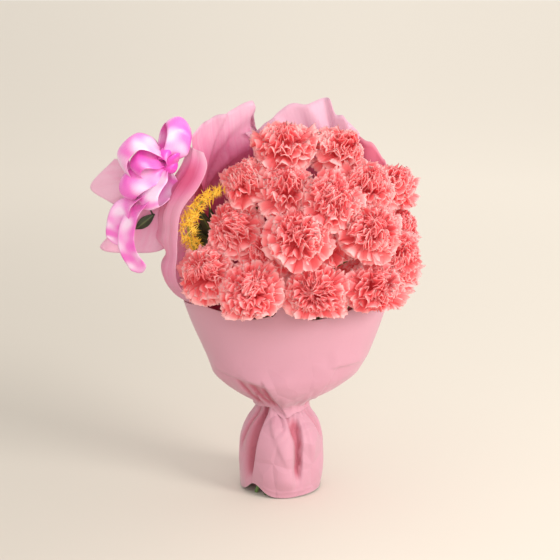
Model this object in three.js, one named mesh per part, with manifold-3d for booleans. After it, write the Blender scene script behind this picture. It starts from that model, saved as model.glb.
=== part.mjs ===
// A wrapped bunch of pink carnations that stands on its own cut stems.
// Millimetres, +Z up. The origin is the middle of the cut end of the central stem, on the table.
// -Y is the front, where the heads face; the bow is on the left, at -X.
import * as THREE from "three";
import { mergeVertices } from "three/addons/utils/BufferGeometryUtils.js";
import Module from "manifold-3d";

const wasm = await Module();
wasm.setup();

// ---- Driving dimensions ----
const BLOOM_RADIUS = 35; // a full carnation head is 70 mm across
const BLOOM_SPACING = 53; // crowded heads press each other to this pitch
const HEAD = { x: 26, y: 46, z: 235, rx: 135, ry: 100, rz: 185 }; // the dome that the heads lie on
const CALYX = { length: 27, mouth: 6.2, waist: 4.6 };
const STEM_RADIUS = 2.4;
const STEM_PITCH = 5.45; // between stem centres in the tied neck
const NECK = { x: 2, y: 0, z: 106 }; // where the stems are tied
const FOOT_RADIUS = 40; // reach of the outermost cut end
const SPIRAL = 1.05; // radians that the stems turn between the neck and the table
const SHEET = 0.8; // wrapping sheets, thicker than the real 0.1 mm
const RIBBON = { loop: 21, tail: 18, thickness: 0.8 };
const GAP = { back: 7, tissue: 11, stems: 24 }; // how far inside the front wrap each layer runs

// The bowl of the front wrap: [height, half-width, depth to the front, depth to the back].
const BOWL = [
  [90, 41, 41, 41],
  [95, 35, 35, 35],
  [100, 32, 32, 32],
  [107, 32, 32, 32],
  [113, 45, 41, 40],
  [123, 64, 51, 50],
  [138, 83, 58, 57],
  [160, 93, 61, 62],
  [200, 109, 64, 68],
  [228, 119, 62, 72],
  [300, 126, 70, 86],
  [450, 118, 70, 96],
];

// Heads as seen from the front: [x, z, how far each is set back from the dome].
const BLOOM_SPOTS = [
  [6, 395, 4],
  [70, 391, 4],
  [-41, 353, 0],
  [9, 349, -6],
  [57, 341, -8],
  [92, 352, -16],
  [120, 346, -8],
  [-48, 307, 0],
  [-12, 282, 2],
  [-79, 260, -26],
  [-30, 248, -36],
  [124, 304, -3],
  [97, 306, -2],
  [22, 306, -9],
  [54, 291, 2],
  [116, 279, 3],
  [119, 252, 20],
  [80, 266, 4],
  [105, 251, -2],
  [39, 247, -30],
  [15, 268, 34],
];

// ---- Materials ----
const matte = (color, roughness) => new THREE.MeshStandardMaterial({ color, roughness, metalness: 0 });
const PETAL = matte(0xf0868a, 0.7);
const GREEN = matte(0x6f8f52, 0.6);
const LEAF = matte(0x2f4426, 0.5);
const GOLD = matte(0xd9a521, 0.75);
const PAPER = matte(0xe79aa8, 0.6);
const TISSUE = matte(0xf0a3bd, 0.5);
const SATIN = matte(0xf26fd0, 0.3);
const TWINE = matte(0xc9b48a, 0.85);

const group = new THREE.Group();
const vec = (x, y, z) => new THREE.Vector3(x, y, z);
const rad = THREE.MathUtils.degToRad;

function addMesh(name, geometry, material) {
  geometry.computeVertexNormals();
  const mesh = new THREE.Mesh(geometry, material);
  mesh.name = name;
  group.add(mesh);
  return mesh;
}

// ---- Solids from points and faces ----
function polyhedron(points, faces) {
  const geometry = new THREE.BufferGeometry();
  const numbers = points.flatMap((p) => [p.x, p.y, p.z]);
  geometry.setAttribute("position", new THREE.Float32BufferAttribute(numbers, 3));
  geometry.setIndex(faces.flat());
  return geometry;
}

// A closed skin over rings of points, from first to last, each end closed by a fan round its middle.
function loft(rings) {
  const sides = rings[0].length;
  const points = rings.flat();
  const faces = [];
  for (let r = 0; r + 1 < rings.length; r++)
    for (let s = 0; s < sides; s++) {
      const a = r * sides + s;
      const b = r * sides + ((s + 1) % sides);
      faces.push([a, b, b + sides], [a, b + sides, a + sides]);
    }
  const middle = (ring) => ring.reduce((sum, p) => sum.add(p), vec(0, 0, 0)).divideScalar(sides);
  points.push(middle(rings[0]), middle(rings.at(-1)));
  const last = (rings.length - 1) * sides;
  for (let s = 0; s < sides; s++) {
    const next = (s + 1) % sides;
    faces.push([next, s, points.length - 2], [last + s, last + next, points.length - 1]);
  }
  return polyhedron(points, faces);
}

// A thin sheet of even thickness whose middle is the grid rows[i][j].
function sheet(rows, thickness) {
  const columns = rows[0].length;
  const at = (i, j) => i * columns + j;
  const middle = rows.flat();
  const cells = [];
  for (let i = 0; i + 1 < rows.length; i++)
    for (let j = 0; j + 1 < columns; j++) {
      const [a, b, c, d] = [at(i, j), at(i, j + 1), at(i + 1, j + 1), at(i + 1, j)];
      cells.push([a, b, c], [a, c, d]);
    }
  const normals = middle.map(() => vec(0, 0, 0));
  for (const [a, b, c] of cells) {
    const n = middle[b].clone().sub(middle[a]).cross(middle[c].clone().sub(middle[a]));
    for (const k of [a, b, c]) normals[k].add(n);
  }
  const offset = (side) => middle.map((p, k) => p.clone().addScaledVector(normals[k].normalize(), side));
  const points = [...offset(thickness / 2), ...offset(-thickness / 2)];
  const back = middle.length;
  const faces = [...cells, ...cells.map(([a, b, c]) => [c + back, b + back, a + back])];
  const border = [];
  for (let j = 0; j < columns; j++) border.push(at(0, j));
  for (let i = 1; i < rows.length; i++) border.push(at(i, columns - 1));
  for (let j = columns - 2; j >= 0; j--) border.push(at(rows.length - 1, j));
  for (let i = rows.length - 2; i > 0; i--) border.push(at(i, 0));
  border.forEach((a, k) => {
    const b = border[(k + 1) % border.length];
    faces.push([b, a, a + back], [b, a + back, b + back]);
  });
  return polyhedron(points, faces);
}

function solid(geometry) {
  const position = new THREE.BufferGeometry().setAttribute("position", geometry.getAttribute("position"));
  position.setIndex(geometry.getIndex());
  const merged = mergeVertices(position, 1e-4);
  return new wasm.Manifold(
    new wasm.Mesh({
      numProp: 3,
      vertProperties: merged.attributes.position.array,
      triVerts: new Uint32Array(merged.index.array),
    }),
  );
}

function geometryOf(manifold) {
  const { numProp, vertProperties, triVerts, numVert } = manifold.getMesh();
  const points = [];
  for (let i = 0; i < numVert; i++) {
    const at = i * numProp;
    points.push(vec(...vertProperties.subarray(at, at + 3)));
  }
  return polyhedron(points, [Array.from(triVerts)]);
}

const joined = (geometries) => geometryOf(geometries.map(solid).reduce((whole, piece) => whole.add(piece)));

// ---- Where the heads are ----
// Each spot is put on the dome, then crowded heads push each other apart, mostly forwards and backwards.
function bloomCentres() {
  const dome = (x, z) => {
    const left = 1 - ((x - HEAD.x) / HEAD.rx) ** 2 - ((z - HEAD.z) / HEAD.rz) ** 2;
    return HEAD.y - HEAD.ry * Math.sqrt(Math.max(0, left));
  };
  const homes = BLOOM_SPOTS.map(([x, z, back]) => vec(x, dome(x, z) + back, z));
  const centres = homes.map((p) => p.clone());
  const push = vec(0.5, 1, 0.5);
  const pull = vec(0.05, 0.015, 0.05);
  for (let round = 0; round < 200; round++) {
    for (let i = 0; i < centres.length; i++)
      for (let j = 0; j < i; j++) {
        const apart = centres[i].clone().sub(centres[j]);
        const distance = apart.length();
        if (distance >= BLOOM_SPACING) continue;
        const move = apart.multiply(push).multiplyScalar((BLOOM_SPACING - distance) / (4 * distance));
        centres[i].add(move);
        centres[j].sub(move);
      }
    centres.forEach((p, i) => p.add(homes[i].clone().sub(p).multiply(pull)));
  }
  return centres;
}

// A head faces out of the dome, but its stem never lets it nod below about 60 degrees.
function bloomAxis(centre) {
  const out = vec(
    (centre.x - HEAD.x) / HEAD.rx,
    (centre.y - HEAD.y) / HEAD.ry,
    Math.max(0, centre.z - HEAD.z) / HEAD.rz,
  );
  return out.normalize().multiplyScalar(0.9).add(vec(0, 0, 0.55)).normalize();
}

const CENTRES = bloomCentres();
const AXES = CENTRES.map(bloomAxis);

// ---- The bowl that the wrapping follows ----
function bowlAt(z) {
  const upper = BOWL.findIndex((row) => row[0] >= z);
  const k = upper < 0 ? BOWL.length - 1 : Math.max(1, upper);
  const t = THREE.MathUtils.clamp((z - BOWL[k - 1][0]) / (BOWL[k][0] - BOWL[k - 1][0]), 0, 1);
  return BOWL[k].map((value, c) => THREE.MathUtils.lerp(BOWL[k - 1][c], value, t));
}
const bowlX = (z) => THREE.MathUtils.mapLinear(THREE.MathUtils.clamp(z, 107, 160), 107, 160, NECK.x, 8);

// A point of the bowl, shrunk by a gap; 0 degrees is the front and 90 degrees is the right.
function onBowl(degrees, z, gap) {
  const [, side, front, back] = bowlAt(z);
  const turn = rad(degrees);
  const depth = Math.cos(turn) > 0 ? front : back;
  return vec(bowlX(z) + (side - gap) * Math.sin(turn), NECK.y - (depth - gap) * Math.cos(turn), z);
}

// A value read off a hand-drawn line of [position, value] pairs, eased between them.
function along(line, x) {
  const k = Math.max(1, line.findIndex(([at]) => at >= x));
  const t = THREE.MathUtils.smoothstep(x, line[k - 1][0], line[k][0]);
  return THREE.MathUtils.lerp(line[k - 1][1], line[k][1], t);
}

// A smooth sheet through a net of hand-placed points, given as rows from its foot to its top.
function drape(net, rows, columns) {
  const across = net.map((row) => new THREE.CatmullRomCurve3(row).getPoints(columns));
  const up = across[0].map((_, c) => {
    return new THREE.CatmullRomCurve3(across.map((row) => row[c])).getPoints(rows);
  });
  return up[0].map((_, r) => up.map((column) => column[r]));
}

const steps = (count, make) => Array.from({ length: count + 1 }, (_, k) => make(k / count, k));

// ---- Stems ----
// Slots in the tied neck, one for each stem, in the order in which their tops fan out.
const FILLER_TOPS = [
  vec(-82, 8, 260),
  vec(88, 8, 262),
  vec(-66, 16, 286),
  vec(50, 0, 300),
];
const FILLER_AXES = [vec(-0.6, -0.1, 0.8), vec(0.5, -0.5, 0.7), vec(-0.4, -0.1, 0.9), vec(0.2, -0.2, 0.96)];
const UNDERSIDE = { degrees: 150, share: 0.37 }; // the flat ring of petals that sits on the calyx
const CALYX_DEPTH = CALYX.length - UNDERSIDE.share * BLOOM_RADIUS * Math.cos(rad(UNDERSIDE.degrees));
const calyxFoot = (k) => CENTRES[k].clone().addScaledVector(AXES[k], -CALYX_DEPTH);
const STEM_TOPS = [...CENTRES.map((_, k) => calyxFoot(k)), ...FILLER_TOPS];
const STEM_AXES = [...AXES, ...FILLER_AXES.map((axis) => axis.normalize())];

// The slots are the closest points of a hexagonal lattice.
// Each is filled by the top that leans its way most.
function neckSlots() {
  const lattice = steps(48, (_, k) => [(k % 7) - 3, Math.floor(k / 7) - 3]).map(
    ([i, j]) => new THREE.Vector2((i + j / 2) * STEM_PITCH, (j * Math.sqrt(3) * STEM_PITCH) / 2),
  );
  const places = lattice.sort((a, b) => a.length() - b.length()).slice(0, STEM_TOPS.length).reverse();
  const leans = STEM_TOPS.map((p) => new THREE.Vector2((p.x - 22) * 0.14, (p.y + 10) * 0.2));
  const slots = leans.map(() => null);
  places.forEach((place) => {
    const free = leans.map((lean, k) => [slots[k] ? Infinity : lean.distanceTo(place), k]);
    const [, nearest] = free.reduce((best, pair) => (pair[0] < best[0] ? pair : best));
    slots[nearest] = place;
  });
  return slots.map((slot) => slot.clone().rotateAround(new THREE.Vector2(), SPIRAL * 0.4));
}

const SLOTS = neckSlots(); // the central stem stands plumb in the middle
const SLOT_REACH = Math.max(...SLOTS.map((s) => s.length()));
const BUNDLE_RADIUS = SLOT_REACH + STEM_RADIUS;
const atNeck = (k) => vec(SLOTS[k].x + NECK.x, SLOTS[k].y + NECK.y, NECK.z);
function atFoot(k) {
  const foot = SLOTS[k].clone().rotateAround(new THREE.Vector2(), -SPIRAL);
  foot.multiplyScalar((FOOT_RADIUS - STEM_RADIUS) / SLOT_REACH);
  return vec(foot.x, foot.y, 0);
}

// Smooth bends above the neck that end in line with the heads.
function firstPath(k) {
  const neck = atNeck(k);
  const top = STEM_TOPS[k];
  const rise = top.z - neck.z;
  const onward = neck.clone().sub(atFoot(k)).multiplyScalar((0.25 * rise) / neck.z);
  const bend = new THREE.CubicBezierCurve3(
    neck,
    neck.clone().add(onward),
    top.clone().addScaledVector(STEM_AXES[k], -0.3 * rise),
    top,
  );
  return bend.getPoints(5);
}

// The point of a run of straight lines that is nearest to a place.
function nearestOn(path, place) {
  const best = { distance: Infinity };
  for (let k = 0; k + 1 < path.length; k++) {
    const point = new THREE.Line3(path[k], path[k + 1]).closestPointToPoint(place, true, vec(0, 0, 0));
    const distance = point.distanceTo(place);
    if (distance < best.distance) Object.assign(best, { distance, point });
  }
  return best;
}

// Stems slide past each other and past the heads and calyxes, and stay inside the bowl.
function bentPaths() {
  const paths = STEM_TOPS.map((_, k) => firstPath(k));
  const clear = (place, from, wanted) => {
    const distance = place.distanceTo(from);
    if (distance >= wanted || distance === 0) return vec(0, 0, 0);
    return place.clone().sub(from).multiplyScalar((0.3 * (wanted - distance)) / distance);
  };
  const push = (place, k) => {
    const move = vec(0, 0, 0);
    CENTRES.forEach((centre, b) => {
      if (b === k) return;
      move.add(clear(place, centre, 32));
      const { point } = nearestOn([STEM_TOPS[b], centre], place);
      move.add(clear(place, point, CALYX.mouth + STEM_RADIUS + 1.5));
    });
    paths.forEach((other, m) => {
      if (m !== k) move.add(clear(place, nearestOn(other, place).point, 2 * STEM_RADIUS + 2.4));
    });
    return move;
  };
  for (let round = 0; round < 220; round++)
    paths.forEach((path, k) => {
      for (let i = 1; i + 1 < path.length; i++) {
        const place = path[i];
        const before = place.clone().add(path[i - 1]).multiplyScalar(0.5);
        const after = place.clone().add(path[i + 1]).multiplyScalar(0.5);
        const middle = before.clone().add(after).multiplyScalar(0.5);
        const move = push(place, k).add(push(before, k)).add(push(after, k));
        place.add(move).add(middle.sub(place).multiplyScalar(round < 120 ? 0.12 : 0.02));
        const [, side, front, back] = bowlAt(place.z);
        const depth = (place.y < NECK.y ? front : back) - GAP.stems;
        const middleX = bowlX(place.z);
        const reach = Math.hypot((place.x - middleX) / (side - GAP.stems), (place.y - NECK.y) / depth);
        if (reach > 1) place.set(middleX + (place.x - middleX) / reach, place.y / reach, place.z);
      }
    });
  return paths;
}

const PATHS = bentPaths().map((path, k) => [atFoot(k), ...path]);

const ring = (centre, u, v, radius, sides) =>
  steps(sides - 1, (_, s) => {
    const angle = (2 * Math.PI * s) / sides;
    const place = centre.clone().addScaledVector(u, radius * Math.cos(angle));
    return place.addScaledVector(v, radius * Math.sin(angle));
  });

// Rings square to the way that a run of points goes, without twist; a stem's first ring is level.
function tube(points, radii, sides) {
  let u = vec(1, 0, 0);
  const rings = points.map((p, k) => {
    const next = points[Math.min(k + 1, points.length - 1)];
    const ahead = next.clone().sub(points[Math.max(k - 1, 0)]).normalize();
    if (p.z === 0) ahead.set(0, 0, 1);
    u = u.clone().addScaledVector(ahead, -u.dot(ahead)).normalize();
    return ring(p, u, ahead.clone().cross(u), radii[k], sides);
  });
  return loft(rings);
}

function carnationStem(k) {
  const top = calyxFoot(k);
  const mouth = top.clone().addScaledVector(AXES[k], CALYX.length - 0.3);
  const waist = top.clone().addScaledVector(AXES[k], 5);
  const radii = PATHS[k].map(() => STEM_RADIUS);
  return tube([...PATHS[k], waist, mouth], [...radii, CALYX.waist, CALYX.mouth], 5);
}

// ---- Wrapping sheets ----
const RIM = [
  [-126, 200],
  [-90, 222],
  [-55, 224],
  [-36, 220],
  [-20, 214],
  [-8, 218],
  [-2, 236],
  [4, 230],
  [14, 214],
  [24, 216],
  [40, 224],
  [65, 226],
  [90, 222],
  [126, 200],
];
const COLLAR = [
  [-126, 101],
  [-60, 102],
  [-22, 101],
  [2, 92],
  [30, 96],
  [60, 99],
  [126, 101],
];

function frontWrap() {
  const rows = [0, 106, 113, 123, 138, 160, 190, 1];
  return rows.map((row) =>
    steps(24, (t) => {
      const degrees = THREE.MathUtils.lerp(-126, 126, t);
      const z = row === 0 ? along(COLLAR, degrees) : row === 1 ? along(RIM, degrees) : row;
      return onBowl(degrees, z, 0);
    }),
  );
}

const BACK_TOP = [
  [108, 352],
  [114, 378],
  [124, 398],
  [136, 405],
  [180, 398],
  [236, 388],
  [248, 366],
];

function backWrap() {
  const rows = [99, 107, 114, 124, 145, 190, 250, 0.5, 1];
  return rows.map((row, r) =>
    steps(16, (t) => {
      const rise = Math.max(0, r - 3) / 5;
      const degrees = THREE.MathUtils.lerp(122 - 14 * rise, 242 + 6 * rise, t);
      const z = row > 1 ? row : THREE.MathUtils.lerp(250, along(BACK_TOP, degrees), row);
      const edge = Math.abs(2 * t - 1) ** 3 * rise ** 3;
      const ripple = 2.5 * rise * Math.sin(rad(9 * degrees));
      return onBowl(degrees, z, GAP.back + ripple - 9 * edge).add(vec(0, t < 0.5 ? 16 * edge : 0, 0));
    }),
  );
}

// The skirt is wound round the stem ends once and a tenth, from its free edge at the left of the front.
const SKIRT = [
  [3, 46.5],
  [16, 48.5],
  [34, 49.5],
  [62, 48.5],
  [80, 43],
  [91, 34.5],
  [97, 30],
  [105, 29],
];
const PLEATS = [
  [20, 9, 4.5],
  [-8, 8, 2],
  [62, 9, 3],
  [118, 10, 4],
  [171, 10, 4],
  [226, 10, 4],
  [290, 10, 4],
];

function skirtWrap() {
  return SKIRT.map(([z, radius], row) =>
    steps(27, (t) => {
      const degrees = THREE.MathUtils.lerp(-36 + 14 * (row / 7), 357, t);
      const lift = z < 10 ? 7 * Math.exp(-(((degrees - 318) / 16) ** 2)) : 0;
      const fade = Math.sin((Math.PI * row) / (SKIRT.length - 1)) ** 0.7;
      const depthOf = ([at, width, depth]) => depth * Math.exp(-(((degrees - at) / width) ** 2));
      const fold = PLEATS.reduce((sum, pleat) => sum + depthOf(pleat), 0);
      const out = radius + THREE.MathUtils.lerp(0.9, -0.9, t) * (1 + Math.min(1, fade)) - fold * fade;
      const turn = rad(degrees);
      return vec(NECK.x * (row / 7) + out * Math.sin(turn), -out * Math.cos(turn), z + lift);
    }),
  );
}

// Rows of a tissue sheet that follow the bowl from the neck to the rim.
const tissueFoot = (from, to, gap, levels) =>
  [99, 107, ...levels].map((z) =>
    steps(4, (t) => onBowl(THREE.MathUtils.lerp(from, to, t), z, z < 110 ? GAP.tissue : gap)),
  );

const TISSUE_LEFT = [
  ...tissueFoot(-108, -176, 15, [123, 150, 200, 280, 350]),
  [vec(-100, 21, 409), vec(-80, 33, 423), vec(-61, 43, 431), vec(-31, 57, 446), vec(-38, 62, 412)],
];

const TISSUE_RIGHT = [
  ...tissueFoot(-181, -226, 21, [123, 150, 200, 280, 350]),
  [vec(-40, 52, 410), vec(-12, 57, 428), vec(24, 60, 441), vec(60, 58, 446), vec(92, 50, 406)],
];

// The sheet at the left curls forwards and back in on itself.
const TISSUE_SIDE = [
  ...tissueFoot(-104, -66, 9, [123, 150, 190, 216]),
  [vec(-98, 28, 234), vec(-116, 16, 236), vec(-123, 0, 236), vec(-118, -18, 234), vec(-104, -30, 234)],
  [vec(-99, 28, 262), vec(-124, 14, 262), vec(-134, -8, 262), vec(-129, -29, 258), vec(-115, -38, 254)],
  [vec(-98, 26, 300), vec(-119, 12, 300), vec(-127, -8, 300), vec(-123, -27, 298), vec(-113, -37, 296)],
  [vec(-97, 24, 330), vec(-112, 8, 330), vec(-120, -10, 330), vec(-118, -26, 330), vec(-108, -34, 330)],
  [vec(-96, 20, 360), vec(-108, 6, 360), vec(-111, -10, 360), vec(-104, -25, 360), vec(-88, -31, 358)],
  [vec(-95, 16, 380), vec(-103, 4, 384), vec(-105, -10, 384), vec(-97, -22, 384), vec(-80, -27, 380)],
  [vec(-94, 12, 390), vec(-100, 2, 398), vec(-101, -8, 400), vec(-96, -15, 398), vec(-84, -21, 394)],
];

// ---- Goldenrod ----
// Star florets crowd along a yellow rachis that carries on from its green stem.
function goldenrod(stem, onward, radius, count) {
  const [before, top] = PATHS[stem].slice(-2);
  const ahead = top.clone().sub(before).normalize();
  const root = [0.5, 7].map((reach) => top.clone().addScaledVector(ahead, reach));
  const curve = new THREE.CatmullRomCurve3([...root, ...onward]);
  const points = curve.getPoints(5);
  const florets = steps(count - 1, (t, k) => {
    const bud = curve.getPointAt(0.08 + 0.9 * t);
    const across = vec(Math.cos(2.4 * k), Math.sin(2.4 * k), 0.35).normalize();
    const middle = bud.clone().addScaledVector(across, k % 3 ? radius : 0.7 * radius);
    const u = vec(-across.y, across.x, 0).normalize();
    const v = across.clone().cross(u);
    const rays = steps(7, (_, r) => {
      const reach = r % 2 ? radius : radius * 0.35;
      const angle = (Math.PI * r) / 4;
      const ray = middle.clone().addScaledVector(u, reach * Math.cos(angle));
      return ray.addScaledVector(v, reach * Math.sin(angle));
    });
    const tips = [bud.clone().addScaledVector(across, -0.8), middle.clone().addScaledVector(across, 2)];
    const faces = rays.flatMap((_, r) => [
      [(r + 1) % 8, r, 8],
      [r, (r + 1) % 8, 9],
    ]);
    return polyhedron([...rays, ...tips], faces);
  });
  return joined([tube(points, points.map(() => 1.6), 4), ...florets]);
}

const GOLDENROD = [
  { onward: [vec(-97, -2, 288), vec(-103, -12, 312), vec(-92, -14, 336), vec(-68, -12, 352)], count: 14 },
  { onward: [vec(96, -8, 274), vec(104, -25, 278)], count: 4 },
];

const fillerStem = (k) => tube(PATHS[k], PATHS[k].map((p) => (p.z > NECK.z ? 1.9 : STEM_RADIUS)), 5);
const goldenrodFlowers = GOLDENROD.map(({ onward, count }, k) => {
  return goldenrod(CENTRES.length + k, onward, 7.5, count);
});

// ---- Foliage ----
// A folded lance-shaped blade from its root along a direction, bending towards a side.
function leaf(root, direction, side, length, width) {
  const fold = direction.clone().cross(side).normalize();
  const shape = [0.25, 0.8, 1, 0.75, 0.12];
  return sheet(
    shape.map((share, row) => {
      const t = row / (shape.length - 1);
      const spine = root.clone().addScaledVector(direction, t * length);
      spine.addScaledVector(fold, -0.18 * length * t * t);
      return [-1, 0, 1].map((c) => {
        const place = spine.clone().addScaledVector(side, (c * share * width) / 2);
        return place.addScaledVector(fold, Math.abs(c) * share * width * 0.15);
      });
    }),
    0.9,
  );
}

const LEAVES = [
  [
    [-0.9, -0.2, 0.5, 46, 17],
    [-0.55, -0.5, 0.8, 52, 18],
    [0.1, 0.2, 1, 40, 15],
    [-0.2, -0.75, 0.45, 34, 15],
  ],
  [
    [0.35, -0.75, 0.5, 40, 14],
    [-0.55, 0.15, 0.9, 44, 15],
    [0.1, -0.5, 0.9, 42, 16],
  ],
];
const foliage = LEAVES.map((blades, k) => {
  const stem = CENTRES.length + 2 + k;
  const root = STEM_TOPS[stem].clone().add(vec(0, 0, -3));
  const leaves = blades.map(([x, y, z, length, width]) => {
    const direction = vec(x, y, z).normalize();
    const side = direction.clone().cross(vec(0.3, 1, 0.2)).normalize();
    return leaf(root, direction, side, length, width);
  });
  return joined([fillerStem(stem), ...leaves]);
});

// ---- Carnation heads ----
// Four whorls of ruffled petals: [degrees from the axis, reach, height of the wave in degrees].
const WHORLS = [
  [100, 1.0, 6],
  [74, 1.0, 6.5],
  [48, 0.97, 6.5],
  [23, 0.9, 5],
];
const COLUMNS = 16; // four petals of four teeth in each whorl
const FRILL_EDGE = 2.8; // degrees, about 1.5 mm at the rim
const THROAT = 0.56; // the petals part down to this share of the radius
const CLEARANCE = 2;

const sheets = {
  front_wrap: sheet(frontWrap(), SHEET),
  back_wrap: sheet(backWrap(), SHEET),
  skirt_wrap: sheet(skirtWrap().reverse(), SHEET),
  tissue_left: sheet(drape(TISSUE_LEFT, 11, 7), SHEET),
  tissue_right: sheet(drape(TISSUE_RIGHT, 11, 9), SHEET),
  tissue_side: sheet(drape(TISSUE_SIDE, 12, 7), SHEET),
};

// Everything that a head presses against, apart from its neighbours.
const pointsOf = (geometry) => {
  const position = geometry.getAttribute("position");
  return steps(position.count - 1, (_, k) => new THREE.Vector3().fromBufferAttribute(position, k));
};
const OBSTACLES = [...Object.values(sheets), ...goldenrodFlowers, ...foliage].flatMap(pointsOf);

function nearObstacles(index) {
  const list = OBSTACLES.map((p) => [p, CLEARANCE]);
  PATHS.forEach((path, k) => {
    if (k === index) return;
    path.slice(1).forEach((to, i) => {
      [0.25, 0.5, 0.75, 1].forEach((t) => {
        list.push([path[i].clone().lerp(to, t), STEM_RADIUS + CLEARANCE]);
      });
    });
    if (k < CENTRES.length) list.push([nearestOn([STEM_TOPS[k], CENTRES[k]], CENTRES[index]).point, 8]);
  });
  return list.filter(([p]) => p.distanceTo(CENTRES[index]) < BLOOM_RADIUS + 10);
}

// How far a head can reach in a direction before it presses on its neighbours.
function reachOf(index, direction, obstacles) {
  let reach = BLOOM_RADIUS;
  const stop = (apart, share, gap) => {
    const distance = apart.length();
    const towards = apart.dot(direction) / distance;
    if (towards > 0) reach = Math.min(reach, Math.max(9, distance * share - gap) / towards);
  };
  CENTRES.forEach((other, k) => {
    if (k !== index) stop(other.clone().sub(CENTRES[index]), 0.5, 0.4);
  });
  obstacles.forEach(([p, gap]) => stop(p.clone().sub(CENTRES[index]), 1, gap));
  return reach;
}

function bloom(index) {
  const turn = new THREE.Quaternion().setFromUnitVectors(vec(0, 0, 1), AXES[index]);
  const obstacles = nearObstacles(index);
  const place = (degrees, angle, share) => {
    const polar = rad(degrees);
    const level = vec(Math.cos(angle), Math.sin(angle), 0).multiplyScalar(Math.sin(polar));
    const direction = level.setZ(Math.cos(polar)).applyQuaternion(turn);
    const reach = share < 0.5 ? BLOOM_RADIUS : reachOf(index, direction, obstacles);
    return direction.clone().multiplyScalar(share * reach).add(CENTRES[index]);
  };
  const around = (make) => steps(COLUMNS - 1, (_, c) => make(c, (2 * Math.PI * c) / COLUMNS));
  const rings = [around((c, angle) => place(UNDERSIDE.degrees, angle, UNDERSIDE.share))];
  WHORLS.forEach(([degrees, reach, wave], w) => {
    const rim = (c, angle, edge) => {
      const inPetal = (c + w * 2 + index) % 4;
      const cut = inPetal === 0 ? 0.88 : 1; // the gap between two petals
      const tooth = inPetal === 2 ? 0.95 : 1;
      const sway = wave * (c % 2 ? 1 : -1);
      return place(degrees + sway + edge, angle, reach * cut * tooth);
    };
    if (w > 0) rings.push(around((c, angle) => rim(c, angle, FRILL_EDGE / 2)));
    rings.push(around((c, angle) => rim(c, angle, -FRILL_EDGE / 2)));
    const next = WHORLS[w + 1];
    if (next) rings.push(around((c, angle) => place((degrees + next[0]) / 2, angle, THROAT)));
  });
  rings.push(around((c, angle) => place(9, angle, 0.6)));
  return loft(rings);
}

CENTRES.forEach((_, k) => {
  const number = String(k + 1).padStart(2, "0");
  addMesh("bloom_" + number, bloom(k), PETAL);
  addMesh("stem_" + number, carnationStem(k), GREEN);
});

goldenrodFlowers.forEach((flowers, k) => {
  addMesh(`goldenrod_${k + 1}_flowers`, flowers, GOLD);
  addMesh(`goldenrod_${k + 1}_stem`, fillerStem(CENTRES.length + k), GREEN);
});
foliage.forEach((leaves, k) => addMesh(`foliage_${k + 1}`, leaves, LEAF));
addMesh("front_wrap", sheets.front_wrap, PAPER);
addMesh("back_wrap", sheets.back_wrap, PAPER);
addMesh("skirt_wrap", sheets.skirt_wrap, PAPER);
addMesh("tissue_left", sheets.tissue_left, TISSUE);
addMesh("tissue_right", sheets.tissue_right, TISSUE);
addMesh("tissue_side", sheets.tissue_side, TISSUE);

// ---- Bands at the neck ----
function band(radius, thickness, low, high) {
  const profile = [
    [radius - thickness / 2, low],
    [radius + thickness / 2, low],
    [radius + thickness / 2, high],
    [radius - thickness / 2, high],
    [radius - thickness / 2, low],
  ];
  const geometry = new THREE.LatheGeometry(profile.map(([x, y]) => new THREE.Vector2(x, y)), 20);
  return geometryOf(solid(geometry.rotateX(Math.PI / 2).translate(NECK.x, NECK.y, 0)));
}

addMesh("stem_binding", band(BUNDLE_RADIUS + 2, 2.4, 101, 107), TWINE);
addMesh("neck_tie", band(26.6, 0.8, 100, 106), TWINE);

// ---- Ribbon bow ----
const KNOT = vec(-122.5, -14, 379);

// A ribbon along a path of points; the width turns evenly from one direction to another. It is narrow
// at the knot: at its start, and at its end too where it is a loop.
function ribbon(path, from, to, segments, width, looped) {
  const curve = new THREE.CatmullRomCurve3(path);
  return sheet(
    steps(segments, (t) => {
      const middle = curve.getPoint(t);
      const ahead = curve.getTangent(t);
      const across = from.clone().lerp(to, t);
      across.addScaledVector(ahead, -across.dot(ahead)).normalize();
      const half = (width / 2) * (0.3 + 0.7 * Math.min(1, 6 * t, looped ? 6 * (1 - t) : 1));
      return [-1, 1].map((c) => middle.clone().addScaledVector(across, c * half));
    }),
    RIBBON.thickness,
  );
}

// The middle line of a loop, as shares of its reach outwards and of its swell.
const LOOP_LINE = [
  [0.03, 0.06],
  [0.3, 0.5],
  [0.75, 0.6],
  [1, 0.1],
  [0.78, -0.42],
  [0.3, -0.4],
  [0.03, -0.06],
];

// A loop of ribbon out of the knot: reach along `out`, opening by `swell` towards `up`.
function loop(out, up, reach, swell) {
  const [o, u] = [out.normalize(), up.normalize()];
  const at = (a, b) => KNOT.clone().addScaledVector(o, a * reach).addScaledVector(u, b * swell);
  const across = o.clone().cross(u);
  return ribbon(LOOP_LINE.map(([a, b]) => at(a, b)), across, across, 9, RIBBON.loop, true);
}

function tail(path) {
  return ribbon([KNOT.clone(), ...path], vec(0.3, -0.9, 0.2), vec(1, -0.3, 0.1), 9, RIBBON.tail, false);
}

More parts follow.
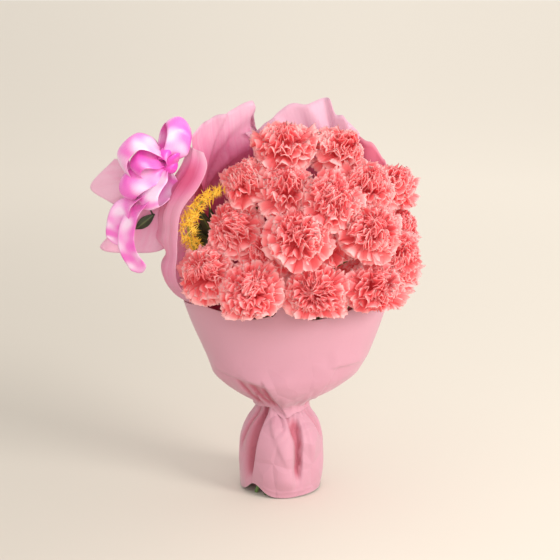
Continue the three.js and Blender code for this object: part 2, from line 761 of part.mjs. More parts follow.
const bow = [
  loop(vec(0.22, 0.05, 1), vec(0.1, -1, 0.1), 52, 22),
  loop(vec(-0.16, -0.1, 1), vec(1, 0.25, 0.1), 52, 14),
  loop(vec(-0.85, -0.1, 0.5), vec(-0.5, -0.3, 0.75), 62, 40),
  loop(vec(-1, -0.3, 0.05), vec(-0.1, -0.9, 0.4), 44, 30),
  loop(vec(-0.75, -0.3, -0.66), vec(-0.6, -0.3, 0.75), 62, 34),
  loop(vec(-0.52, -0.12, -1), vec(-0.9, -0.35, 0.3), 84, 46),
  tail([vec(-136, -24, 345), vec(-158, -26, 305), vec(-160, -22, 276), vec(-152, -20, 257)]),
  tail([vec(-150, -26, 352), vec(-182, -22, 322), vec(-186, -16, 290)]),
  new THREE.SphereGeometry(8.5, 7, 5).translate(KNOT.x, KNOT.y, KNOT.z),
];
addMesh("ribbon_bow", joined(bow), SATIN);

// Two pointed flaps of tissue hang from the back of the knot, with a sprig between them and the ribbon.
const FLAP_EDGE = [
  vec(-186, 6, 384),
  vec(-214, 4, 351),
  vec(-192, 3, 336),
  vec(-170, 5, 318),
  vec(-205, 0, 283),
  vec(-168, 2, 280),
  vec(-137, 0, 281),
];
const flapRoot = KNOT.clone().add(vec(-4, 11, -6));
const flapRows = [0.1, 0.4, 0.7, 1].map((share) => {
  return FLAP_EDGE.map((edge) => flapRoot.clone().lerp(edge, share));
});
addMesh("bow_tissue", sheet(drape(flapRows, 3, 12), SHEET), TISSUE);

const sprigPath = [vec(-137, -4.6, 363), vec(-143, -4.6, 344), vec(-147, -6, 322)];
const sprigWay = vec(-0.75, -0.1, -0.6).normalize();
const sprigFold = vec(-0.6, 0.1, 0.75).normalize();
const sprigLeaf = leaf(vec(-145, -5, 323), sprigWay, sprigFold, 28, 12);
addMesh("bow_sprig", joined([tube(sprigPath, [1, 1, 1], 4), sprigLeaf]), LEAF);

export default group;
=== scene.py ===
"""A wrapped bunch of pink carnations that stands on its own cut stems.

Lengths in the code are millimetres, and the meshes are made in metres. +Z is up, -Y is the front,
and the bow is on the left, at -X.
"""

import math

import bpy
import numpy as np
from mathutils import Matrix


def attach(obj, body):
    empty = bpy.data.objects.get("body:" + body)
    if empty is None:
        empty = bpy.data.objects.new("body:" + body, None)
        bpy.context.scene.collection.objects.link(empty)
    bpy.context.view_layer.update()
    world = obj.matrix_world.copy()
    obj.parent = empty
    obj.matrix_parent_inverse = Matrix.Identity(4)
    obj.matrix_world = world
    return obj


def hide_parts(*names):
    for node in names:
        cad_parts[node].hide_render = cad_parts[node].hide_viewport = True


bl_info = {
    "name": "Carnation Bunch",
    "version": (1, 0, 0),
    "blender": (4, 5, 0),
    "location": "View3D > Sidebar > Carnation Bunch",
    "description": "Builds a wrapped bunch of pink carnations and its studio",
    "category": "Add Mesh",
}

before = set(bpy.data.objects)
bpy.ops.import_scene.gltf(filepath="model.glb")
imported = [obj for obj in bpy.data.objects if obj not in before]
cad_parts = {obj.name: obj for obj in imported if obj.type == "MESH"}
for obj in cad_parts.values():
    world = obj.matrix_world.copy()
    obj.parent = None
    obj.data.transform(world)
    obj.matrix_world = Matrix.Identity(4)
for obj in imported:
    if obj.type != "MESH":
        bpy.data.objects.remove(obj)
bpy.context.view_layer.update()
MM = 0.001

# ---- The bunch's own layout, shared with the solids ----
BLOOM_RADIUS = 35
BLOOM_SPACING = 53
HEAD = np.array([26.0, 46.0, 235.0])
HEAD_RADII = np.array([135.0, 100.0, 185.0])
CALYX_LENGTH, CALYX_MOUTH, CALYX_WAIST = 27, 6.2, 4.6
STEM_RADIUS = 2.4
STEM_PITCH = 5.45
PETAL_ROOT = 0.37  # how far below a head's middle its petals start, in radii
NECK = np.array([2.0, 0.0, 106.0])
FOOT_RADIUS = 40
SPIRAL = 1.05  # radians that the stems turn from the foot to the neck
PAPER, THIN, LEAF = 0.4, 0.3, 0.5  # thickness of the papers, of tissue, ribbon and petals, and of leaves
WRAP_REACH = 126  # degrees that the front wrap goes round to each side
BACK_GRID = (90, 150)
GAP_BACK, GAP_TISSUE, GAP_STEMS = 7, 11, 24
ABOVE_FLOOR = 0.02

# The bowl of the front wrap: height, half-width, depth to the front, depth to the back
BOWL = np.array([
    [90, 41, 41, 41], [95, 35, 35, 35], [100, 32, 32, 32], [107, 32, 32, 32], [113, 45, 41, 40],
    [123, 64, 51, 50], [138, 83, 58, 57], [160, 93, 61, 62], [200, 109, 64, 68], [228, 119, 62, 72],
    [300, 126, 70, 86], [450, 118, 70, 96],
], float)

# Heads as seen from the front: x, z, how far each is set back from the dome
BLOOM_SPOTS = np.array([
    [6, 395, 4], [70, 391, 4], [-41, 353, 0], [9, 349, -6], [57, 341, -8], [92, 352, -16], [120, 346, -8],
    [-48, 307, 0], [-12, 282, 2], [-79, 260, -26], [-30, 248, -36], [124, 304, -3], [97, 306, -2],
    [22, 306, -9], [54, 291, 2], [116, 279, 3], [119, 252, 20], [80, 266, 4], [105, 251, -2],
    [39, 247, -30], [15, 268, 34],
], float)


# ---- Shapes as arrays ----
def unit(v):
    """A vector over its own length."""
    return v / np.maximum(np.linalg.norm(v, axis=-1, keepdims=True), 1e-9)


def eased(low, high, x):
    """0 below low, 1 above high, and 3t^2 - 2t^3 between them."""
    t = np.clip((x - low) / (high - low), 0, 1)
    return t * t * (3 - 2 * t)


def bump(x, middle, width):
    """A bell: e to the minus square of the distance from the middle in widths."""
    return np.exp(-(((x - middle) / width) ** 2))


def along(line, x):
    """A value read off a drawn line of [position, value] pairs, eased between them."""
    line = np.asarray(line, float)
    k = np.clip(np.searchsorted(line[:, 0], x), 1, len(line) - 1)
    t = np.clip((x - line[k - 1, 0]) / (line[k, 0] - line[k - 1, 0]), 0, 1)
    return line[k - 1, 1] + (line[k, 1] - line[k - 1, 1]) * t * t * (3 - 2 * t)


def spline(points, t):
    """A centripetal Catmull-Rom curve through points[n, ...], read at t from 0 to 1.

    Between two points it is the cubic whose end slopes come from the neighbours, each span
    weighed by the square root of its length.
    """
    p = np.asarray(points, float)
    ends = np.concatenate([[2 * p[0] - p[1]], p, [2 * p[-1] - p[-2]]])
    place = np.clip(np.asarray(t, float) * (len(p) - 1), 0, len(p) - 1)
    k = np.minimum(place.astype(int), len(p) - 2)
    w = (place - k).reshape(-1, *[1] * (p.ndim - 1))
    a, b, c, d = (ends[k + i] for i in range(4))
    span = lambda m, n: np.maximum(np.linalg.norm(n - m, axis=-1, keepdims=True), 1e-6) ** 0.5
    ab, bc, cd = span(a, b), span(b, c), span(c, d)
    start = ((b - a) / ab - (c - a) / (ab + bc) + (c - b) / bc) * bc
    stop = ((c - b) / bc - (d - b) / (bc + cd) + (d - c) / cd) * bc
    cube, square = w**3, w**2
    return (
        (2 * cube - 3 * square + 1) * b
        + (cube - 2 * square + w) * start
        + (3 * square - 2 * cube) * c
        + (cube - square) * stop
    )


def drape(net, rows, columns):
    """A smooth sheet through a net of points: splines across each row, then up each column."""
    across = spline(np.swapaxes(np.asarray(net, float), 0, 1), np.linspace(0, 1, columns))
    return spline(np.swapaxes(across, 0, 1), np.linspace(0, 1, rows))


def blade_faces(rows, columns):
    """Quads of a closed thin blade, upper grid then lower grid, and which of them aren't its edge."""
    at = np.arange(rows * columns).reshape(rows, columns)
    upper = np.stack([at[:-1, :-1], at[:-1, 1:], at[1:, 1:], at[1:, :-1]], -1).reshape(-1, 4)
    lower = upper[:, ::-1] + rows * columns
    rim = np.concatenate([at[0, :-1], at[:-1, -1], at[-1, :0:-1], at[:0:-1, 0]])
    ahead = np.roll(rim, -1)
    edge = np.stack([ahead, rim, rim + rows * columns, ahead + rows * columns], -1)
    faces = np.concatenate([upper, lower, edge])
    return faces, np.arange(len(faces)) < 2 * len(upper)


def thicken(grid, thickness):
    """Both sides of a thin blade: the grid moved half the thickness along its normal, each way."""
    n = unit(np.cross(np.gradient(grid, axis=-2), np.gradient(grid, axis=-3)))
    return np.stack([grid + n * thickness / 2, grid - n * thickness / 2], axis=-4)


class Shape:
    """Points, faces and values of one piece, gathered from its parts."""

    def __init__(self):
        self.points, self.faces, self.smooth, self.uv, self.values = [], [], [], [], []
        self.count = 0

    def add(self, points, faces, smooth=None, uv=None, **values):
        """One more part: a face is four corners, or three with the last one repeated."""
        points = np.asarray(points, float).reshape(-1, 3)
        faces = np.asarray(faces)
        self.points.append(points)
        self.faces.append(faces + self.count)
        self.smooth.append(np.ones(len(faces), bool) if smooth is None else smooth)
        self.uv.append(np.zeros((len(points), 2)) if uv is None else np.asarray(uv, float).reshape(-1, 2))
        spread = lambda v: np.full(len(points), v) if np.ndim(v) == 0 else np.ravel(v)
        self.values.append({key: spread(v) for key, v in values.items()})
        self.count += len(points)
        return self

    def blades(self, grids, thickness, uv=None, **values):
        """Closed thin blades from grids[n, rows, columns, 3]; values are given per grid point.

        The value `under` is 1 on the side that the grid's normals face away from.
        """
        n, rows, columns = grids.shape[:3]
        both = thicken(grids, thickness)
        faces, smooth = blade_faces(rows, columns)
        step = 2 * rows * columns
        every = (faces[None] + step * np.arange(n)[:, None, None]).reshape(-1, 4)
        twice = lambda v: np.repeat(np.broadcast_to(v, grids.shape[:3])[:, None], 2, axis=1)
        if uv is None:
            v, u = np.meshgrid(np.linspace(0, 1, rows), np.linspace(0, 1, columns), indexing="ij")
            uv = np.broadcast_to(np.stack([u, v], -1), (n, rows, columns, 2))
        uv = np.repeat(uv[:, None], 2, axis=1)
        under = np.broadcast_to(np.array([0.0, 1.0])[:, None, None], both.shape[:-1])
        values = {key: twice(value) for key, value in values.items()}
        return self.add(both, every, np.tile(smooth, n), uv, under=under, **values)

    def tube(self, path, radii, sides, **values):
        """A closed tube: rings square to the path, each end closed by a fan."""
        path = np.asarray(path, float)
        ahead = unit(np.gradient(path, axis=0))
        side = unit(np.cross(ahead, [0.13, 0.99, 0.05]))
        other = np.cross(ahead, side)
        turn = np.linspace(0, 2 * math.pi, sides, endpoint=False)[None, :, None]
        radii = np.asarray(radii, float)
        radii = radii.reshape(len(path), -1, 1) if radii.ndim else radii
        radii = np.broadcast_to(radii, (len(path), sides, 1))
        rings = path[:, None] + radii * (np.cos(turn) * side[:, None] + np.sin(turn) * other[:, None])
        n = len(path)
        at = np.arange(n * sides).reshape(n, sides)
        right = np.roll(at, -1, axis=1)
        walls = np.stack([at[:-1], right[:-1], right[1:], at[1:]], -1).reshape(-1, 4)
        first, last = np.full(sides, n * sides), np.full(sides, n * sides + 1)
        ends = np.concatenate([
            np.stack([right[0], at[0], first], -1),
            np.stack([at[-1], right[-1], last], -1),
        ])
        points = np.concatenate([rings.reshape(-1, 3), path[:1], path[-1:]])
        shares = np.concatenate([np.repeat(np.linspace(0, 1, n), sides), [0, 1]])
        turns = np.concatenate([np.tile(np.linspace(0, 1, sides), n), [0.5, 0.5]])
        fans = np.concatenate([ends, ends[:, 2:]], axis=1)  # told apart from quads by a repeated corner
        return self.add(
            points, np.concatenate([walls, fans]), np.arange(len(walls) + len(fans)) < len(walls),
            np.stack([turns, shares], -1), **values,
        )


def add_piece(name, shape, finish, slot, *nodes):
    """Puts a shape into a mesh, in metres, that rides on the root and stands for its nodes."""
    points = np.concatenate(shape.points) * MM
    faces = np.concatenate(shape.faces)
    sizes = np.where(faces[:, 2] == faces[:, 3], 3, 4)
    corners = faces[np.arange(4)[None] < sizes[:, None]]
    mesh = bpy.data.meshes.new(name)
    mesh.vertices.add(len(points))
    mesh.vertices.foreach_set("co", points.ravel())
    mesh.loops.add(len(corners))
    mesh.loops.foreach_set("vertex_index", corners.astype(np.int32))
    mesh.polygons.add(len(faces))
    mesh.polygons.foreach_set("loop_start", np.concatenate([[0], np.cumsum(sizes)[:-1]]).astype(np.int32))
    mesh.polygons.foreach_set("use_smooth", np.concatenate(shape.smooth))
    mesh.uv_layers.new(name="run").data.foreach_set("uv", np.concatenate(shape.uv)[corners].ravel())
    for key in sorted({key for part in shape.values for key in part}):
        full = [part.get(key, np.zeros(len(p))) for part, p in zip(shape.values, shape.points)]
        mesh.attributes.new(key, "FLOAT", "POINT").data.foreach_set("value", np.concatenate(full))
    mesh.update(calc_edges=True)
    mesh.validate()
    mesh.materials.append(finish)
    piece = bpy.data.objects.new(name, mesh)
    bpy.context.scene.collection.objects.link(piece)
    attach(piece, "root")
    if nodes:
        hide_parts(*nodes)
    return piece


# ---- Where everything in the bunch is ----
def bloom_centres():
    """Heads on the dome, pushed apart where they crowd, mostly forwards and backwards."""
    x, z, back = BLOOM_SPOTS.T
    room = 1 - ((x - HEAD[0]) / HEAD_RADII[0]) ** 2 - ((z - HEAD[2]) / HEAD_RADII[2]) ** 2
    homes = np.stack([x, HEAD[1] - HEAD_RADII[1] * np.sqrt(np.maximum(0, room)) + back, z], -1)
    centres = homes.copy()
    for _ in range(200):
        for i in range(len(centres)):
            for j in range(i):
                apart = centres[i] - centres[j]
                distance = math.sqrt(apart @ apart)
                if distance < BLOOM_SPACING:
                    move = apart * [0.5, 1, 0.5] * (BLOOM_SPACING - distance) / (4 * distance)
                    centres[i] += move
                    centres[j] -= move
        centres += (homes - centres) * [0.05, 0.015, 0.05]
    return centres


def bloom_axes(centres):
    """A head faces out of the dome, but its stem never lets it nod far down."""
    out = (centres - HEAD) / HEAD_RADII
    out[:, 2] = np.maximum(0, out[:, 2])
    return unit(unit(out) * 0.9 + [0, 0, 0.55])


def bowl_at(z):
    """The bowl's half-width and its depths to the front and the back, read off BOWL."""
    return [np.interp(z, BOWL[:, 0], BOWL[:, k]) for k in (1, 2, 3)]


def bowl_x(z):
    """The bowl leans from the neck towards the middle of the heads."""
    return np.interp(z, [107, 160], [NECK[0], 8])


def on_bowl(degrees, z, gap):
    """A point of the bowl, shrunk by a gap: an ellipse at each height; 0 degrees is the front."""
    degrees, z = np.broadcast_arrays(np.asarray(degrees, float), np.asarray(z, float))
    side, front, back = np.mean([bowl_at(z + d) for d in (-4, -2, 0, 2, 4)], axis=0)
    turn = np.radians(degrees)
    depth = np.where(np.cos(turn) > 0, front, back)
    x = bowl_x(z) + (side - gap) * np.sin(turn)
    return np.stack([x, NECK[1] - (depth - gap) * np.cos(turn), z], -1)


CENTRES = bloom_centres()
AXES = bloom_axes(CENTRES)
HEADS = len(CENTRES)
CALYX_DEPTH = CALYX_LENGTH - PETAL_ROOT * BLOOM_RADIUS * math.cos(math.radians(150))
FILLER_TOPS = np.array([[-82, 8, 260], [88, 8, 262], [-66, 16, 286], [50, 0, 300]], float)
FILLER_AXES = unit(np.array([[-0.6, -0.1, 0.8], [0.5, -0.5, 0.7], [-0.4, -0.1, 0.9], [0.2, -0.2, 0.96]]))
STEM_TOPS = np.concatenate([CENTRES - AXES * CALYX_DEPTH, FILLER_TOPS])
STEM_AXES = np.concatenate([AXES, FILLER_AXES])


def turned(points, angle):
    """Flat points turned about the origin."""
    cos, sin = math.cos(angle), math.sin(angle)
    return points @ np.array([[cos, sin], [-sin, cos]])


def neck_slots():
    """Slots of a hexagonal lattice, outermost first, each filled by the top that leans its way most."""
    k = np.arange(49)
    i, j = k % 7 - 3, k // 7 - 3
    x, y = (i + j / 2) * STEM_PITCH, (j * math.sqrt(3) * STEM_PITCH) / 2
    lattice = np.stack([x, y], -1)
    order = np.argsort(np.sqrt(x * x + y * y), kind="stable")[: len(STEM_TOPS)][::-1]
    leans = np.stack([(STEM_TOPS[:, 0] - 22) * 0.14, (STEM_TOPS[:, 1] + 10) * 0.2], -1)
    slots = np.full(leans.shape, np.nan)
    for place in lattice[order]:
        away = np.where(np.isnan(slots[:, 0]), np.linalg.norm(leans - place, axis=1), np.inf)
        slots[np.argmin(away)] = place
    return turned(slots, SPIRAL * 0.4)


SLOTS = neck_slots()
SLOT_REACH = np.linalg.norm(SLOTS, axis=1).max()
BUNDLE_RADIUS = SLOT_REACH + STEM_RADIUS
AT_NECK = np.column_stack([SLOTS + NECK[:2], np.full(len(SLOTS), NECK[2])])
FOOT_SPOTS = turned(SLOTS, -SPIRAL) * (FOOT_RADIUS - STEM_RADIUS) / SLOT_REACH
AT_FOOT = np.column_stack([FOOT_SPOTS, np.zeros(len(SLOTS))])


def first_paths():
    """Cubic curves from the neck that end in line with the heads."""
    rise = (STEM_TOPS[:, 2] - NECK[2])[:, None]
    second = AT_NECK + (AT_NECK - AT_FOOT) * 0.25 * rise / NECK[2]
    third = STEM_TOPS - STEM_AXES * 0.3 * rise
    t = np.linspace(0, 1, 6)[None, :, None]
    a, b, c, d = (p[:, None] for p in (AT_NECK, second, third, STEM_TOPS))
    return (1 - t) ** 3 * a + 3 * (1 - t) ** 2 * t * b + 3 * (1 - t) * t * t * c + t**3 * d


def nearest(starts, stops, places):
    """The point of each segment that is nearest to each place."""
    run = stops - starts
    square = np.maximum((run * run).sum(-1, keepdims=True), 1e-9)
    t = ((places - starts) * run).sum(-1, keepdims=True) / square
    return starts + run * np.clip(t, 0, 1)


def bent_paths():
    """Stems slide past each other, the heads and the calyxes, and stay inside the bowl."""
    paths = first_paths()
    count = len(paths)
    from_head, from_stem = 32, 2 * STEM_RADIUS + 2.4
    from_calyx = CALYX_MOUTH + STEM_RADIUS + 1.5

    def clear(places, points, wanted):
        """A third of what a place lacks of its wanted distance to a point, summed."""
        apart = places - points
        distance = np.linalg.norm(apart, axis=-1, keepdims=True)
        short = np.where((distance < wanted) & (distance > 0), wanted - distance, 0)
        return (apart * 0.3 * short / np.maximum(distance, 1e-9)).reshape(-1, 3).sum(0)

    others = [np.array([m for m in range(count) if m != k]) for k in range(count)]
    heads = [np.array([m for m in range(HEADS) if m != k]) for k in range(count)]
    for turn in range(220):
        stiff = 0.12 if turn < 120 else 0.02
        for k in range(count):
            path = paths[k]
            for i in range(1, 5):
                place = path[i]
                before, after = (place + path[i - 1]) / 2, (place + path[i + 1]) / 2
                middle = (before + after) / 2
                query = np.stack([place, before, after])[:, None]
                b = heads[k]
                move = clear(query, CENTRES[b], from_head)
                move = move + clear(query, nearest(STEM_TOPS[b], CENTRES[b], query), from_calyx)
                rest = paths[others[k]]
                touch = nearest(rest[None, :, :-1], rest[None, :, 1:], query[:, :, None])
                away = np.linalg.norm(touch - query[:, :, None], axis=-1)
                closest = np.take_along_axis(touch, away.argmin(-1)[..., None, None], axis=2)[:, :, 0]
                move = move + clear(query, closest, from_stem)
                place = place + move
                place = place + (middle - place) * stiff
                side, front, back = bowl_at(place[2])
                depth = (front if place[1] < NECK[1] else back) - GAP_STEMS
                x = bowl_x(place[2])
                reach = math.hypot((place[0] - x) / (side - GAP_STEMS), (place[1] - NECK[1]) / depth)
                if reach > 1:
                    place = np.array([x + (place[0] - x) / reach, place[1] / reach, place[2]])
                path[i] = place
    return np.concatenate([AT_FOOT[:, None], paths], axis=1)


PATHS = bent_paths()

# ---- Sheets ----
# Heights of the front wrap's upper and lower edges and of the back wrap's upper edge, by degrees
RIM = [
    [-WRAP_REACH, 200],
    [-90, 222], [-55, 224], [-36, 220], [-20, 214], [-8, 218], [-2, 236], [4, 230], [14, 214], [24, 216],
    [40, 224], [65, 226], [90, 222],
    [WRAP_REACH, 200],
]
COLLAR = [[-WRAP_REACH, 101], [-60, 102], [-26, 104], [4, 93], [30, 98], [60, 100], [WRAP_REACH, 101]]
BACK_TOP = [[108, 352], [114, 378], [124, 398], [136, 405], [180, 398], [236, 388], [248, 366]]
# The skirt's radius by height
SKIRT = [[2, 46.5], [16, 48.5], [34, 49.5], [62, 48.5], [80, 43], [91, 34.5], [97, 30], [105, 29]]


def fold(x, z, start, stop, width, rise, sharp=0.15):
    """A crease: the height is rise at the line, a wide bell on its left and a narrow one on its right."""
    (ax, az), (bx, bz) = start, stop
    run = math.hypot(bx - ax, bz - az)
    t = ((x - ax) * (bx - ax) + (z - az) * (bz - az)) / run**2
    side = ((x - ax) * (bz - az) - (z - az) * (bx - ax)) / run
    ends = eased(-0.15, 0.2, t) * (1 - eased(0.75, 1.15, t))
    return rise * ends * np.exp(-((side / np.where(side < 0, width, width * sharp)) ** 2))


def outward(grid):
    """Level directions away from the bunch's own axis."""
    flat = grid - [NECK[0], NECK[1], 0]
    return unit(flat * [1, 1, 0])


def edge_value(grid, width, sides=(True, True, True, True)):
    """1 at the free edges of a sheet and 0 at a width inside them; sides are foot, right, top, left."""
    rows, columns = grid.shape[:2]
    up = np.linalg.norm(np.gradient(grid, axis=0), axis=-1).cumsum(0)
    across = np.linalg.norm(np.gradient(grid, axis=1), axis=-1).cumsum(1)
    away = np.full((rows, columns), np.inf)
    for wanted, distance in zip(sides, (up, across[:, -1:] - across, up[-1:] - up, across)):
        if wanted:
            away = np.minimum(away, distance)
    return 1 - eased(0, width, away)


def sine(degrees):
    """The sine of an angle in degrees."""
    return np.sin(np.radians(degrees))


def paper(grid, edge, deep, crumple):
    """A paper sheet with the values of its finish: its cut edge, which gets a painted highlight, how deep in
    a fold, which sets its painted shade, and how crumpled.
    """
    return Shape().blades(
        grid[None], PAPER, edge=edge_value(grid, edge)[None], deep=deep[None], crumple=crumple
    )


def front_wrap_shape():
    """The bowl from the collar to the rim, moved out and in by creases, by sine waves that pinch it at
    the neck, and by slow waves towards the rim."""
    degrees = np.linspace(-WRAP_REACH, WRAP_REACH, 221)[None]
    share = np.linspace(0, 1, 84)[:, None] ** 1.25
    low, high = along(COLLAR, degrees), along(RIM, degrees)
    z = low + (high - low) * share
    grid = on_bowl(degrees, z, 0)
    x = grid[..., 0]
    front = eased(10, 30, -grid[..., 1])
    rise = 0
    for crease in [
        ((37, 112), (62, 158), 18, 2.6, 0.08),
        ((57, 157), (95, 159), 15, 2.8, 0.1),
        ((-78, 153), (-13, 135), 20, 3.4, 0.07),
        ((-17, 140), (8, 94), 24, 5.0, 0.05),
        ((-34, 136), (-12, 108), 6, -4.6, 0.2),
        ((-48, 140), (-24, 108), 5, -3.0, 0.2),
        ((-20, 132), (-6, 106), 4, -3.6, 0.2),
        ((-28, 128), (-26, 106), 2.5, -1.8, 0.2),
        ((36, 128), (27, 100), 5, -2.0, 0.2),
    ]:
        rise = rise + fold(x, z, *crease)
    pinch = bump(z, 112, 9) * (0.8 * sine(degrees * 11) + 0.5 * sine(degrees * 23 + 40))
    waves = 0.9 * eased(150, 220, z) * sine(3.1 * degrees + 30) + 0.5 * np.sin(z / 17 + degrees / 21)
    grid = grid + outward(grid) * (rise * front + pinch + waves)[..., None]
    # deep: painted shade, darker and redder down in the creases and in the pinch at the neck
    deep = np.clip(-(rise * front + 0.8 * pinch) / 2.6, 0, 1)
    crumple = bump(z, 108, 36) + 0 * x
    return paper(grid, 1.2, deep, crumple[None])


def back_wrap_shape():
    """The bowl behind the heads, let out into an upright sheet whose sides curl forwards with the cube
    of the way out, with ripples in the angle and long creases."""
    q = np.linspace(0, 8, BACK_GRID[0])[:, None]
    t = np.linspace(0, 1, BACK_GRID[1])[None]
    lift = np.maximum(0, q - 3) / 5
    degrees = (122 - 14 * lift) * (1 - t) + (242 + 6 * lift) * t
    level = np.interp(q, range(7), [99, 107, 114, 124, 145, 190, 250])
    z = level + (along(BACK_TOP, degrees) - 250) * np.maximum(0, q - 6) / 2
    edge = np.abs(2 * t - 1) ** 3 * lift**3
    ripple = 2.5 * lift * sine(9 * degrees) + 0.8 * lift * sine(23 * degrees + 8 * q)
    grid = on_bowl(degrees, z, GAP_BACK + ripple - 9 * edge)
    grid[..., 1] += np.where(t < 0.5, 16 * edge, 0)
    rise = 0.9 * bump(z, 112, 12) * sine(degrees * 17)
    for start, stop, width, height in [
        ((196, 110), (138, 396), 9, 3.0),
        ((178, 104), (168, 330), 7, -2.6),
        ((170, 104), (206, 392), 9, 3.2),
        ((186, 108), (226, 380), 7, -2.4),
        ((160, 112), (124, 300), 6, 2.4),
        ((206, 118), (240, 260), 6, 2.6),
        ((150, 300), (200, 340), 30, 1.6),
    ]:
        rise = rise + fold(degrees, z, start, stop, width, height, 0.2)
    rise = rise * eased(99, 122, z)
    grid += outward(grid) * rise[..., None]
    # deep: painted shade, darker down in the creases and near the neck
    deep = np.clip(-rise / 4 + 0.15 * bump(z, 110, 30), 0, 1)
    return paper(grid, 1.2, deep, 0.4)


# Pleats of the skirt: line from and to (degrees, height), width, sharpness, rise
PLEATS_FRONT = [
    ((-22, 101), (13, 34), 12, 0.25, 1.6),
    ((6, 100), (18, 70), 9, 0.2, -6.5),
    ((-6, 101), (2, 82), 4, 0.3, -3.0),
    ((-62, 56), (-41, 104), 10, 0.15, -4.5),
    ((-80, 60), (-58, 104), 9, 0.2, -3.0),
    ((38, 101), (47, 40), 9, 0.4, 1.8),
    ((55, 103), (74, 62), 8, 0.25, -3.8),
    ((72, 98), (84, 60), 7, 0.3, -2.4),
    ((300, 104), (283, 50), 8, 0.25, -3.2),
    ((321, 104), (314, 20), 12, 0.8, -9.0),
]
# Pleats round the back: degrees at the top and at the foot, width, depth
PLEATS_BACK = [
    (118, 112, 9, 5.5), (145, 152, 6, 2.5), (171, 176, 9, 5), (200, 198, 6, 2.5), (226, 222, 9, 5.5),
    (256, 262, 7, 3),
]


def skirt_shape():
    """Radius by height, less the pleats, wound once and a tenth with the free edge outside. The front
    stands out in one panel, sine waves gather it at the neck, and the hem lifts off the cut stems."""
    height = np.linspace(0, 1, 84)[:, None]
    t = np.linspace(0, 1, 250)[None]
    z = 2 + 103 * height
    degrees = (-42 + 15 * height) * (1 - t) + 357 * t
    radius = np.mean([np.interp(z + d, *np.transpose(SKIRT)) for d in (-5, -2.5, 0, 2.5, 5)], axis=0)
    body = eased(2, 26, z) * (1 - eased(88, 103, z))
    hold = eased(16, 60, z) * (1 - eased(97, 105, z))
    out = radius + (0.9 - 1.8 * t) * (1 + body)
    out += body * fold(degrees, z, (27, 24), (30, 90), 15, -8.5, 0.08)
    for start, stop, width, sharp, rise in PLEATS_FRONT:
        out += fold(degrees, z, start, stop, width, rise, sharp)
    for top, foot, width, depth in PLEATS_BACK:
        out += hold * fold(degrees, z, (top, 104), (foot, 12), width, -depth, 0.45)
    out += 0.8 * bump(z, 9, 1.4) * bump(degrees, 15, 40)
    out += 4.5 * body * eased(-40, 14, degrees) * (1 - eased(14, 24, degrees))
    out += bump(z, 98, 9) * (0.8 * sine(degrees * 13) + 0.5 * sine(degrees * 29 + 50))
    out += 0.5 * body * np.sin(np.radians(5 * degrees) + z / 19)
    # panel and deep: painted shade, darker down in the pleats and a little over the middle of the front, none
    # just above the hem
    panel = 0.24 * body * bump(degrees, 2, 24)
    deep = np.clip((radius - out - 0.4) / 5 + panel, 0, 1) * (1 - bump(z, 9, 3))
    round_front = (degrees + 180) % 360 - 180
    lift = (1 - eased(0, 40, z)) * (13 * bump(round_front, -39, 17) - 1.4 * bump(degrees, 6, 25))
    x, y = NECK[0] * height + out * sine(degrees), -out * np.cos(np.radians(degrees))
    grid = np.stack([x, y, z + lift], -1)[::-1]
    return paper(grid, 1.0, deep[::-1], 1.0)


def tissue_foot(start, stop, gap, levels):
    """Rows that follow the bowl from the neck up."""
    return [
        on_bowl(np.linspace(start, stop, 5), z, GAP_TISSUE if z < 110 else gap)
        for z in [99, 107, *levels]
    ]


TISSUES = {
    "tissue_left": (
        tissue_foot(-108, -176, 15, [123, 150, 200, 280, 350])
        + [np.array([[-100, 21, 409], [-80, 33, 423], [-61, 43, 431], [-31, 57, 446], [-38, 62, 412]], float)]
    ),
    "tissue_right": (
        tissue_foot(-181, -226, 21, [123, 150, 200, 280, 350])
        + [np.array([[-40, 52, 410], [-12, 57, 428], [24, 60, 441], [60, 58, 446], [92, 50, 406]], float)]
    ),
    "tissue_side": (
        tissue_foot(-104, -66, 9, [123, 150, 190, 216])
        + [
            np.array(row, float)
            for row in (
                [[-98, 28, 234], [-116, 16, 236], [-123, 0, 236], [-118, -18, 234], [-104, -30, 234]],
                [[-99, 28, 262], [-124, 14, 262], [-134, -8, 262], [-129, -29, 258], [-115, -38, 254]],
                [[-98, 26, 300], [-119, 12, 300], [-127, -8, 300], [-123, -27, 298], [-113, -37, 296]],
                [[-97, 24, 330], [-112, 8, 330], [-120, -10, 330], [-118, -26, 330], [-108, -34, 330]],
                [[-96, 20, 360], [-108, 6, 360], [-111, -10, 360], [-104, -25, 360], [-88, -31, 358]],
                [[-95, 16, 380], [-103, 4, 384], [-105, -10, 384], [-97, -22, 384], [-80, -27, 380]],
                [[-94, 12, 390], [-100, 2, 398], [-101, -8, 400], [-96, -15, 398], [-84, -21, 394]],
            )
        ]
    ),
}


# Creases of the tissues: place across the sheet 420 mm up, drift of it per 100 mm up, width, height
CREASES = {
    "tissue_left": [
        (1.05, 1.25, 0.2, 6.0), (0.8, 1.0, 0.1, -3.5), (0.62, 0.8, 0.14, 3.5), (0.42, 0.55, 0.09, 4.0),
        (0.2, 0.5, 0.1, -3.0), (1.3, 1.3, 0.12, -4.0),
    ],
    "tissue_right": [
        (0.1, -0.3, 0.13, -5.0), (0.3, -0.3, 0.1, 4.0), (0.62, -0.3, 0.16, 5.0),
        (0.74, -0.15, 0.06, -4.0), (0.9, -0.2, 0.06, 3.0),
    ],
    "tissue_side": [(0.5, 0.02, 0.1, 2.0), (0.72, 0.04, 0.08, -1.6), (0.25, -0.02, 0.09, 1.4)],
}
# How far the upper edge of a tissue stands above its net, by the place across
EDGES = {
    "tissue_left": [[0, 0], [0.25, 2], [0.38, 4], [0.6, 1], [0.72, -1], [0.8, -6], [1, 0]],
    "tissue_right": [
        [0, -2], [0.12, -9], [0.22, -5], [0.42, 4], [0.56, -2], [0.72, 1], [0.78, -14], [0.86, -5],
        [1, 2],
    ],
    "tissue_side": [[0, 0], [1, 0]],
}
